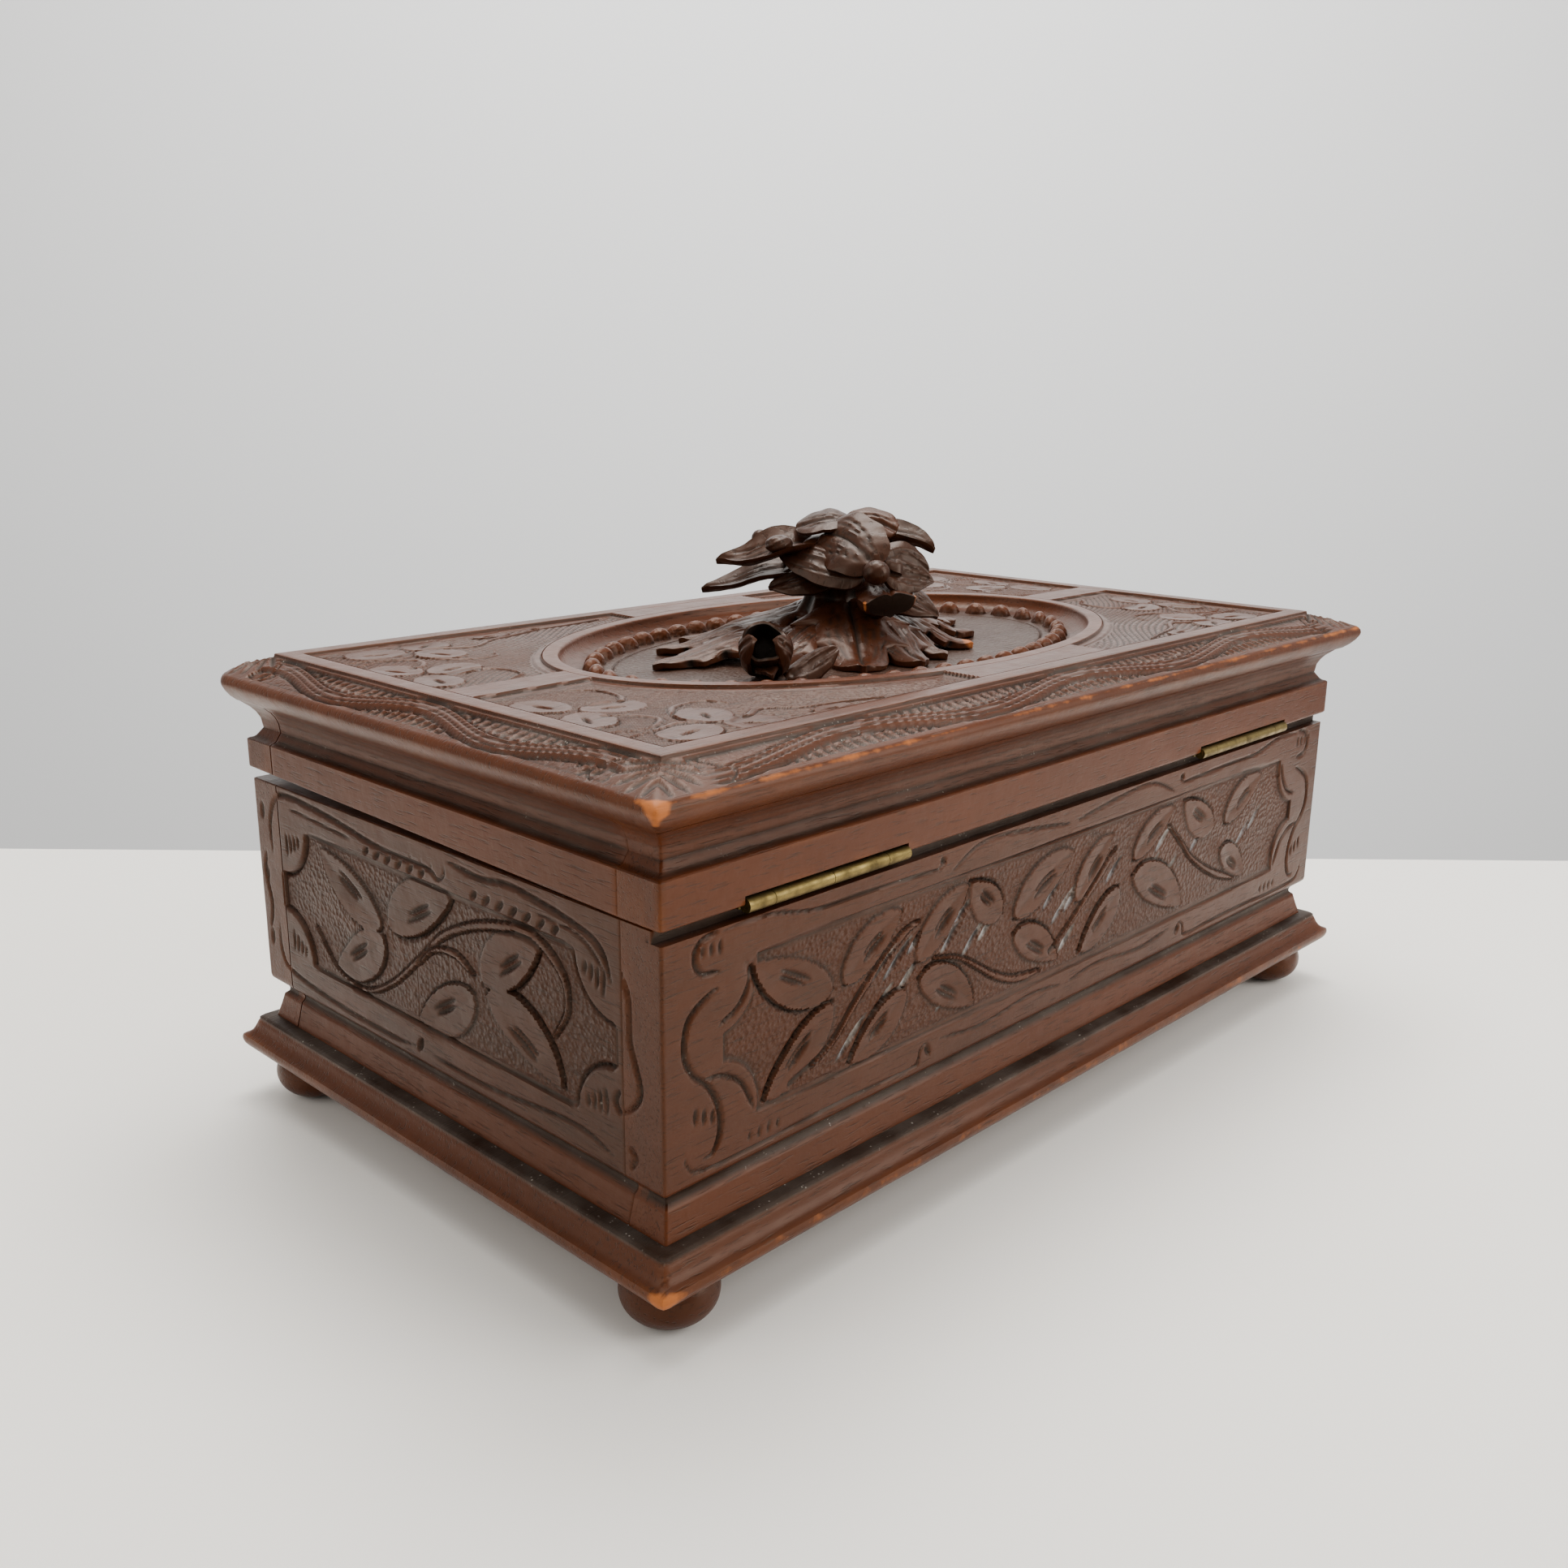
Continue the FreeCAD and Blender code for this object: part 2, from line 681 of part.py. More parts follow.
def keyhole(label, y_low, y_high):
    """The key's way in: a round hole over a slot."""
    round_part = cylinder(f"{label}_round", S["keyhole"], y_high - y_low, ZERO, y_low, key_z, "y")
    slot = box(f"{label}_slot", (-(S["keyhole_slot"] / 2), y_low, key_z - S["keyhole_length"]),
               (S["keyhole_slot"] / 2, y_high, key_z))
    return fuse(label, [round_part, slot])


def lock_screw_pair(label, z, up):
    """Two screws at the ends of a lock plate or strike."""
    reach = lock_half + S["lock_plate_ear"] / 2
    return [small_screw(f"{label}_{index}", reach * side, lock_middle, z, up)
            for index, side in enumerate((-1, 1))]


def build_lock():
    """Lock case, bolt, plate screws and escutcheon. Gives the tools that let them in."""
    half = lock_half
    wall = S["lock_wall"]
    shell = box("lock_shell", (-half, lock_front, lock_floor), (half, lock_back, plate_under))
    plate = box("lock_top_plate", (-plate_half, lock_front, plate_under),
                (plate_half, lock_back, body_top))
    hollow = box("lock_hollow", (-half + wall, lock_front + wall, lock_floor + wall),
                 (half - wall, lock_back - wall, plate_under))
    slots = []
    for index, side in enumerate((-1, 1)):
        x = S["link_spacing"] / 2 * side
        reach_x = S["link_thickness"] / 2 + S["link_slot_clearance"]
        reach_y = S["link_width"] / 2 + S["link_slot_clearance"]
        slots.append(box(f"link_slot_{index}", (x - reach_x, lock_middle - reach_y, plate_under - 1),
                         (x + reach_x, lock_middle + reach_y, body_top + 1)))
    screws = lock_screw_pair("lock_screw", body_top, False)
    key_way = keyhole("keyhole_through", -(half_width + MORE), lock_front + wall + 1)
    case = fuse("lock_case_blank", [shell, plate])
    keep("lock_case", cut("lock_case", case, [hollow, *slots, key_way, *screws]))
    keep("lock_screws", group("lock_screw_pair", screws))
    build_bolt()
    build_escutcheon(key_way)
    room = S["lock_clearance"]
    seat = box("lock_seat", (-half - room, lock_front - room, lock_floor - room),
               (half + room, lock_back + MORE, body_top + MORE))
    plate_seat = box("lock_plate_seat", (-plate_half, lock_front, plate_under),
                     (plate_half, lock_back + MORE, body_top + MORE))
    return [seat, plate_seat, key_way, *screws]


def build_bolt():
    """The bolt: a bar with two prongs that pass through the links when it is thrown."""
    low = lock_floor + S["bolt_floor"]
    bar_top = low + S["bolt_bar"]
    thick = S["bolt_thickness"] / 2
    thin = S["prong_thickness"] / 2
    pieces = []
    bar_end = S["link_spacing"] + S["prong"] + S["bolt_travel"] - bolt_reach
    pieces.append(box("bolt_bar", (-bolt_reach, lock_middle - thick, low),
                      (bar_end, lock_middle + thick, bar_top)))
    for index in (0, 1):
        neck = S["link_spacing"] * index - bolt_reach
        root = neck + S["prong"]
        tip = root + S["bolt_travel"]
        pieces.append(box(f"bolt_neck_{index}", (neck, lock_middle - thin, bar_top),
                          (root, lock_middle + thin, prong_low + S["prong"])))
        pieces.append(box(f"bolt_prong_{index}", (root, lock_middle - thin, prong_low),
                          (tip, lock_middle + thin, prong_low + S["prong"])))
    keep("lock_bolt", fuse("bolt", pieces))


def build_escutcheon(key_way):
    """An oval brass plate round the keyhole, held by two pins."""
    ring = doc.addObject("Part::Ellipse", "escutcheon_edge")
    bind(ring, "MajorRadius", S["escutcheon_length"] / 2)
    bind(ring, "MinorRadius", S["escutcheon_width"] / 2)
    ring.Placement.Rotation = FreeCAD.Rotation(
        FreeCAD.Vector(0, 0, 1), FreeCAD.Vector(1, 0, 0), FreeCAD.Vector(0, 1, 0), "ZXY")
    face = -half_width
    place(ring, ZERO, face, plate_middle)
    blank = doc.addObject("Part::Extrusion", "escutcheon_blank")
    blank.Base = ring
    blank.Dir = FreeCAD.Vector(0, -1, 0)
    bind(blank, "LengthFwd", S["escutcheon_thickness"])
    blank.Solid = True
    reach = S["escutcheon_length"] / 2 - 2.2
    length = (S["board"] - S["lock_depth"] - S["lock_clearance"] - S["pin_wood"]
              + S["escutcheon_thickness"])
    pins = [cylinder(f"escutcheon_pin_{index}", S["pin_shank"], length, ZERO,
                     face - S["escutcheon_thickness"], plate_middle + reach * side, "y")
            for index, side in enumerate((-1, 1))]
    keep("escutcheon_pins", group("escutcheon_pin_pair", pins))
    keep("escutcheon", cut("escutcheon", blank, [key_way, *pins]))


def build_strike():
    """The plate in the lid's front rail with the two links that drop into the lock."""
    low = strike_level
    high = low + S["lock_plate"]
    pieces = [box("strike_plate_flat", (-plate_half, lock_front, low),
                  (plate_half, lock_back, high))]
    eyes = []
    for index, side in enumerate((-1, 1)):
        x = S["link_spacing"] / 2 * side
        thick = S["link_thickness"] / 2
        wide = S["link_width"] / 2
        eye = S["link_eye_width"] / 2
        pieces.append(box(f"link_{index}", (x - thick, lock_middle - wide, link_foot),
                          (x + thick, lock_middle + wide, low)))
        eyes.append(box(f"link_eye_{index}", (x - thick - 1, lock_middle - eye, eye_low),
                        (x + thick + 1, lock_middle + eye, eye_low + S["link_eye_height"])))
    screws = lock_screw_pair("strike_screw", low, True)
    keep("strike_plate", cut("strike_plate", fuse("strike_blank", pieces), [*eyes, *screws]))
    keep("strike_screws", group("strike_screw_pair", screws))
    seat = box("strike_seat", (-plate_half, lock_front, low - MORE),
               (plate_half, lock_back, high))
    return [seat, *screws]


# ---------------------------------------------------------------- linings
def build_linings():
    """Velvet pads: the floor, the four walls and the inside of the lid."""
    top = body_top - S["lining_below_top"]
    thick = S["lining"]
    for label, sy in (("lining_front", -1), ("lining_back", 1)):
        outer, inner = inside_y * sy, (inside_y - thick) * sy
        low_y, high_y = (outer, inner) if sy < 0 else (inner, outer)
        keep(label, box(f"{label}_card", (-inside_x, low_y, base_top), (inside_x, high_y, top)))
    for label, sx in (("lining_left", -1), ("lining_right", 1)):
        outer, inner = inside_x * sx, (inside_x - thick) * sx
        low_x, high_x = (outer, inner) if sx < 0 else (inner, outer)
        keep(label, box(f"{label}_card", (low_x, -(inside_y - thick), base_top),
                        (high_x, inside_y - thick, top)))
    gap = S["pad_gap"] + thick
    keep("floor_pad", box("floor_pad_block", (-(inside_x - gap), -(inside_y - gap), base_top),
                          (inside_x - gap, inside_y - gap, base_top + S["floor_pad"])))
    gap = S["pad_gap"]
    keep("lid_pad", box("lid_pad_block",
                        (-(inside_x - gap), -(inside_y - gap), rail_top - S["lid_pad"]),
                        (inside_x - gap, inside_y - gap, rail_top)))


# ---------------------------------------------------------------- finial
# Each leaf: length, width, thickness, then its foot (x, y, z above the oval floor), then the
# way it points and how far its tip rises, in degrees.
LEAVES = (
    (44, 20, 3.0, 18, -4, 6, 0, -8), (34, 20, 3.0, 12, 10, 8, 52, -10),
    (34, 20, 3.0, -6, 12, 8, 100, -10), (34, 18, 3.0, -20, 8, 8, 150, -14),
    (36, 18, 3.0, -18, -2, 7, 182, -10), (34, 20, 3.0, -10, -12, 8, 240, -10),
    (34, 20, 3.0, 10, -12, 8, 292, -10), (34, 18, 3.0, 22, -8, 8, 332, -10),
    (24, 14, 3.0, 10, 2, 25, 20, 6), (22, 14, 3.0, 4, 8, 26, 75, 0),
    (24, 14, 3.0, -6, 6, 26, 130, 4), (22, 14, 3.0, -10, -2, 26, 185, 8),
    (22, 14, 3.0, -4, -8, 26, 240, 0), (24, 14, 3.0, 6, -8, 25, 300, 4),
    (18, 12, 3.0, 2, 1, 32, 35, 16), (18, 12, 3.0, -3, -2, 31, 215, 18),
)


def leaf(label, length, width, thickness):
    """A flat pointed leaf along +X, from its foot at the origin."""
    tip = Size(float(length), f"{length} mm")
    half = Size(width / 2.0, f"{width / 2.0} mm")
    middle = tip * 0.42
    body = doc.addObject("PartDesign::Body", label)
    sketch = outline(body, "XY_Plane", [(ZERO, ZERO), (middle, -half), (tip, ZERO), (middle, half)])
    feature = body.newObject("PartDesign::Pad", f"{label}_pad")
    feature.Profile = sketch
    feature.Midplane = True
    feature.Length = thickness
    body.Tip = feature
    return body


def build_finial():
    """Foliage carved from one block, pulled down onto the lid by a screw from inside."""
    mound = doc.addObject("Part::Ellipsoid", "finial_mound")
    bind(mound, "Radius1", S["finial_height"] * 0.5)
    bind(mound, "Radius2", S["finial_height"] * 0.72)
    bind(mound, "Radius3", S["finial_height"] * 0.42)
    place(mound, ZERO, ZERO, oval_floor)
    crown = doc.addObject("Part::Ellipsoid", "finial_crown")
    bind(crown, "Radius1", S["finial_height"] * 0.32)
    bind(crown, "Radius2", S["finial_height"] * 0.5)
    bind(crown, "Radius3", S["finial_height"] * 0.4)
    place(crown, ZERO, ZERO, lid_top + S["finial_height"] * 0.62)
    stem = cylinder("finial_stem", S["finial_height"] * 0.22, S["finial_height"] * 0.9,
                    ZERO, ZERO, oval_floor)
    pieces = [mound, crown, stem]
    for index, (length, width, thickness, x, y, rise, way, lift) in enumerate(LEAVES):
        one = leaf(f"finial_leaf_{index:02d}", length, width, thickness)
        one.Placement.Rotation = FreeCAD.Rotation(way, -lift, 0)
        pieces.append(place(one, Size(float(x), f"{x} mm"), Size(float(y), f"{y} mm"),
                            oval_floor + rise))
    limit = box("finial_limit", (-half_length, -half_width, oval_floor),
                (half_length, half_width, lid_top + S["finial_height"]))
    foliage = common("finial_blank", fuse("finial_foliage", pieces), limit)
    screw = wood_screw("finial_screw_body", ZERO, ZERO, rail_top, True, S["finial_screw_head"],
                       S["finial_screw"],
                       oval_floor - rail_top + S["finial_screw_bite"], S["finial_screw"])
    keep("finial", cut("finial", foliage, [screw]))
    keep("finial_screw", screw)
    return [screw]


# ---------------------------------------------------------------- assembly
def write_parts():
    """Checks every object and every piece, then writes one STEP file a piece."""
    failed = [o.Name for o in doc.Objects
              if any(word in ("Invalid", "Error") for word in o.State)]
    if failed:
        raise RuntimeError(f"these objects failed: {failed}")
    idle = [piece.Name for piece, base in cuts
            if piece.Shape.Volume > base.Shape.Volume - 1e-3]
    if idle:
        raise RuntimeError(f"these cuts take nothing away: {idle}")
    for label, piece in parts.items():
        if piece.Shape.isNull() or not piece.Shape.isValid() or not piece.Shape.Solids:
            raise RuntimeError(f"{label} is not a valid solid")
    os.makedirs("parts", exist_ok=True)
    for label, piece in parts.items():
        piece.Shape.exportStep(f"parts/{label}.step")
    print(len(parts), "pieces written")


def main():
    """Builds every piece and lets the fittings into the wood."""
    build_base()
    boards = dict(build_carcass())
    rails = dict(build_lid_frame())
    board_tools, rail_tools = build_hinges()
    boards["back_board"] = cut("back_board_fitted", boards["back_board"], board_tools)
    rails["lid_rail_back"] = cut("back_rail_fitted", rails["lid_rail_back"], rail_tools)
    boards["front_board"] = cut("front_board_fitted", boards["front_board"],
                                [*build_lock(), parts["escutcheon_pins"]])
    rails["lid_rail_front"] = cut("front_rail_fitted", rails["lid_rail_front"], build_strike())
    for label, piece in {**boards, **rails}.items():
        keep(label, piece)
    keep("lid_top_board", cut("lid_top_board_drilled", lid_top_board(), build_finial()))
    build_linings()
    doc.recompute()
    write_parts()


main()
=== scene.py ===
"""Carved wooden jewellery box with a hinged lid: its surfaces, its padding and its stage."""
import math

import bpy
import numpy as np
from bpy.props import FloatProperty, FloatVectorProperty, PointerProperty
from mathutils import Matrix, Vector


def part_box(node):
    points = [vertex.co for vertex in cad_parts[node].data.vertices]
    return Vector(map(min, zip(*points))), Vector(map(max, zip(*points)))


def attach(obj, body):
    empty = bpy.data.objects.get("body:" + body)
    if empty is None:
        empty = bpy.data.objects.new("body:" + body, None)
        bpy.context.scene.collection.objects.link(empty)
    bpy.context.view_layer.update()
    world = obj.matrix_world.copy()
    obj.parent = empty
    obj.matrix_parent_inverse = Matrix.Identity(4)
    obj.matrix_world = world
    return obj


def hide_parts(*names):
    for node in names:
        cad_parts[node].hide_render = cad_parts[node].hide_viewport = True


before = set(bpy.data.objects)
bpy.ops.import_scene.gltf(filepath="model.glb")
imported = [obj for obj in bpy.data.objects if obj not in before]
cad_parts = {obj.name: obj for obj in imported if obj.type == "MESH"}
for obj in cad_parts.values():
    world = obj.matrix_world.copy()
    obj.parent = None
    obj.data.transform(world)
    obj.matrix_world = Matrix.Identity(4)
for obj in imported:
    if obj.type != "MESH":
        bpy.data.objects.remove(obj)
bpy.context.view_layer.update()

bl_info = {
    "name": "Carved jewellery box",
    "version": (1, 0, 0),
    "blender": (4, 5, 0),
    "location": "View3D > Sidebar > Jewellery box",
    "description": "Builds a carved wooden jewellery box with a hinged lid and a foliage finial",
    "category": "Add Mesh",
}

MM = 0.001


# ------------------------------------------------------------------ settings
def metres(name, description, default):
    """A setting that is a length, in metres."""
    return FloatProperty(name=name, description=description, default=default, unit="LENGTH")


def tint(name, description, default):
    """A setting that is a colour."""
    return FloatVectorProperty(name=name, description=description, default=default, subtype="COLOR")


class CarvingSettings(bpy.types.PropertyGroup):
    """How deep and how fine the carving is."""

    mesh_step: metres("Mesh step", "Distance between the corners of a carved face", 0.00044)
    ground_depth: metres("Ground depth", "Carved ground below the face of a board", 0.00062)
    leaf_depth: metres("Leaf depth", "Cut along the edge of a leaf", 0.00135)
    line_width: metres("Line width", "Width of an incised line", 0.0010)
    line_depth: metres("Line depth", "Depth of an incised line", 0.00062)
    arris: metres("Arris radius", "Rounding of the corners by handling", 0.0006)


class FinishSettings(bpy.types.PropertyGroup):
    """The colours of the stained wood, the metal and the velvet."""

    dark_stain: tint("Dark stain", "Stain on the carved faces", (0.043, 0.0115, 0.0038))
    warm_stain: tint("Warm stain", "Redder wood of the plain strips", (0.066, 0.0160, 0.0046))
    raw_wood: tint("Raw wood", "Wood bared by wear", (0.33, 0.098, 0.022))
    # This colour darkens the pores; in the hollows it stands for grime and for painted shade.
    grime: tint("Grime", "Dirt in the hollows", (0.0070, 0.0030, 0.0016))
    # The dust colour is also the colour of the painted glint in the slanting chips.
    dust: tint("Dust", "Pale dust and painted glint caught in the carving", (0.27, 0.24, 0.205))
    brass: tint("Brass", "Aged brass", (0.20, 0.145, 0.048))
    velvet: tint("Velvet", "Lining", (0.17, 0.012, 0.022))


class StageSettings(bpy.types.PropertyGroup):
    """The camera, the lights and the floor."""

    camera_place: FloatVectorProperty(
        name="Camera", description="Where the camera stands", subtype="TRANSLATION",
        default=(0.30198, 0.27101, 0.18449))
    turn: FloatProperty(
        name="Turn", description="Heading of the camera", subtype="ANGLE", default=2.3409)
    tilt: FloatProperty(
        name="Tilt", description="Slope of its view", subtype="ANGLE", default=-0.2652)
    roll: FloatProperty(
        name="Roll", description="Roll of the camera", subtype="ANGLE", default=0.0078)
    lens: FloatProperty(name="Lens", description="Focal length", default=34.118, unit="CAMERA")
    floor_colour: tint("Floor", "Colour of the floor", (0.82, 0.78, 0.715))
    wall_colour: tint("Wall", "Colour of the backdrop", (0.90, 0.90, 0.895))
    key_power: FloatProperty(
        name="Key light", description="Power of the large overhead light", default=12.0,
        unit="POWER")


def carving():
    """The carving settings of the scene."""
    return bpy.context.scene.jewel_carving


def finish_of():
    """The finish settings of the scene."""
    return bpy.context.scene.jewel_finish


def stage_of():
    """The stage settings of the scene."""
    return bpy.context.scene.jewel_stage


def in_mm(length):
    """A setting's metres in millimetres."""
    return length / MM


# ------------------------------------------------------------------ the frame's sizes, in mm
def span(node):
    """Lowest and highest corner of a CAD node, in millimetres."""
    low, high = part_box(node)
    return np.array(low) / MM, np.array(high) / MM


BACK_LOW, BACK_HIGH = span("back_board")
BASE_LOW, BASE_HIGH = span("base_board")
RAIL_LOW = span("lid_rail_back")[0]
TOP_LOW, TOP_HIGH = span("lid_top_board")
FRONT_RAIL_LOW = span("lid_rail_front")[0]

HALF_LENGTH = BACK_HIGH[0]
HALF_WIDTH = BACK_HIGH[1]
BOARD = BACK_HIGH[1] - BACK_LOW[1]
INSIDE_X = HALF_LENGTH - BOARD
INSIDE_Y = HALF_WIDTH - BOARD
BASE_TOP = BASE_HIGH[2]
BODY_TOP = BACK_HIGH[2]
LID_BOTTOM = RAIL_LOW[2]
RAIL_TOP = TOP_LOW[2]
LID_TOP = TOP_HIGH[2]
PROUD = 0.6                     # lid frame outside the carcass
BAND_TOP = LID_BOTTOM + 10.0
PANEL_FOOT = BASE_TOP + 10.6    # lower edge of the carved panels
REBATE_DEPTH, REBATE_HEIGHT = 2.5, 2.65     # along the top of the back board
SEAT_GAP = 0.06                 # the finished wood keeps this far from the other body
BARREL_NOTCH = 1.87             # height of the notches for the hinge barrels
NOTCH_DEPTH = 2.9
RAIL_STEP = 1.1                 # mesh step of the plain lid rails
NOSE = TOP_HIGH[1] - HALF_WIDTH
NOSE_FRONT = -TOP_LOW[1] - HALF_WIDTH
FILLET_IN = 5.6
FILLET_WIDTH = 5.2
PANEL_X = HALF_LENGTH - FILLET_IN - FILLET_WIDTH
PANEL_Y = HALF_WIDTH - FILLET_IN - FILLET_WIDTH
OVAL_X, OVAL_Y = 92.0, 59.0     # outside of the raised rim
OVAL_RIM = 4.0
OVAL_DEPTH = 4.6
END_BAND, SIDE_BAND = 5.2, 26.5     # half widths of the plain bands
HINGES = [span(f"hinge_leaf_lower_{side}") for side in ("right", "left")]


# ------------------------------------------------------------------ mesh tools
def move_corners(piece, places):
    """Puts the corners of a piece at these places, in millimetres."""
    piece.data.vertices.foreach_set("co", (places * MM).ravel())
    piece.data.update()


def grid_piece(name, places, closed=False, capped=False):
    """A grid of faces whose corners are at places, an array of rows, columns and x, y, z in mm.
    closed joins its last column to its first, and capped closes its first and last rows."""
    rows, columns = places.shape[:2]
    bpy.ops.object.select_all(action="DESELECT")
    bpy.ops.mesh.primitive_grid_add(x_subdivisions=columns - 1, y_subdivisions=rows - 1)
    piece = bpy.context.object
    piece.name = piece.data.name = name
    move_corners(piece, places)
    bpy.ops.object.mode_set(mode="EDIT")
    bpy.ops.mesh.select_all(action="SELECT")
    if closed:
        bpy.ops.mesh.remove_doubles(threshold=1e-6)
    if capped:
        bpy.ops.mesh.select_all(action="DESELECT")
        bpy.ops.mesh.select_non_manifold()
        bpy.ops.mesh.fill_holes(sides=0)
    bpy.ops.mesh.select_all(action="SELECT")
    bpy.ops.mesh.normals_make_consistent(inside=False)
    bpy.ops.object.mode_set(mode="OBJECT")
    bpy.ops.object.shade_smooth_by_angle(angle=math.radians(38))
    return piece


def set_layer(piece, name, values):
    """Writes a number for each corner, or one for them all, to a named attribute."""
    layer = piece.data.attributes.get(name) or piece.data.attributes.new(name, "FLOAT", "POINT")
    numbers = np.zeros(len(layer.data), np.float32)
    numbers[:] = values
    layer.data.foreach_set("value", numbers)


def corners_of(piece):
    """The corners of a piece, in millimetres."""
    places = np.zeros(len(piece.data.vertices) * 3)
    piece.data.vertices.foreach_get("co", places)
    return places.reshape(-1, 3) / MM


def measure_relief(piece, fine=4, broad=22):
    """Stores how worn and how hollow each corner is: how far it stands out from, or lies below,
    its smoothed surroundings."""
    mesh = piece.data
    count = len(mesh.vertices)
    edges = np.zeros(len(mesh.edges) * 2, int)
    mesh.edges.foreach_get("vertices", edges)
    first, second = edges.reshape(-1, 2).T
    normals = np.zeros(count * 3)
    mesh.vertex_normals.foreach_get("vector", normals)
    normals = normals.reshape(-1, 3)
    places = corners_of(piece)
    valence = np.bincount(first, minlength=count) + np.bincount(second, minlength=count)
    valence = np.maximum(valence, 1)
    smooth = places.copy()
    out = {}
    for step in range(1, broad + 1):
        total = np.zeros_like(smooth)
        for axis in range(3):
            total[:, axis] += np.bincount(first, smooth[second, axis], count)
            total[:, axis] += np.bincount(second, smooth[first, axis], count)
        smooth = 0.4 * smooth + 0.6 * total / valence[:, None]
        if step in (fine, broad):
            out[step] = np.einsum("ij,ij->i", places - smooth, normals)
    worn = np.clip(out[fine] / 0.10 - 0.3, 0, 1) * 0.4
    hollow = np.clip(-out[fine] / 0.06 - 0.1, 0, 1) * 0.5
    set_layer(piece, "worn", worn + np.clip(out[broad] / 0.45 - 0.3, 0, 1) * 0.6)
    set_layer(piece, "hollow", hollow + np.clip(-out[broad] / 0.22 - 0.05, 0, 1) * 0.5)


def settle(piece, body, slot, material, *nodes):
    """Gives a finished piece its material, its body and the CAD nodes that it stands for."""
    piece.data.materials.clear()
    piece.data.materials.append(material)
    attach(piece, body)
    if nodes:
        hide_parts(*nodes)


def blend_in(value, low, high):
    """0 below low, 1 above high and a smooth rise between."""
    share = np.clip((value - low) / (high - low), 0, 1)
    return share * share * (3 - 2 * share)


def wobble(a, b, scale, seed=0.0):
    """A gentle unevenness, about -1 to 1, as hand work leaves it."""
    a, b = a / scale + seed, b / scale - seed * 1.7
    return (np.sin(a * 1.7 + np.sin(b * 1.3)) + np.sin(b * 2.1 + 1.4 * np.sin(a * 0.9 + seed))
            + 0.6 * np.sin(a * 3.7 + b * 2.9)) / 2.6


def curve(points, per_mm=1.6):
    """A smooth curve through the points."""
    points = np.asarray(points, float)
    if len(points) == 2:
        return points
    ends = np.vstack((2 * points[0] - points[1], points, 2 * points[-1] - points[-2]))
    spots = []
    for p0, p1, p2, p3 in zip(ends[:-3], ends[1:-2], ends[2:-1], ends[3:]):
        steps = max(3, int(np.linalg.norm(p2 - p1) * per_mm))
        t = np.linspace(0, 1, steps, endpoint=False)[:, None]
        spots.append(0.5 * (2 * p1 + (p2 - p0) * t + (2 * p0 - 5 * p1 + 4 * p2 - p3) * t**2
                            + (3 * p1 - p0 - 3 * p2 + p3) * t**3))
    return np.vstack((*spots, points[-1:]))


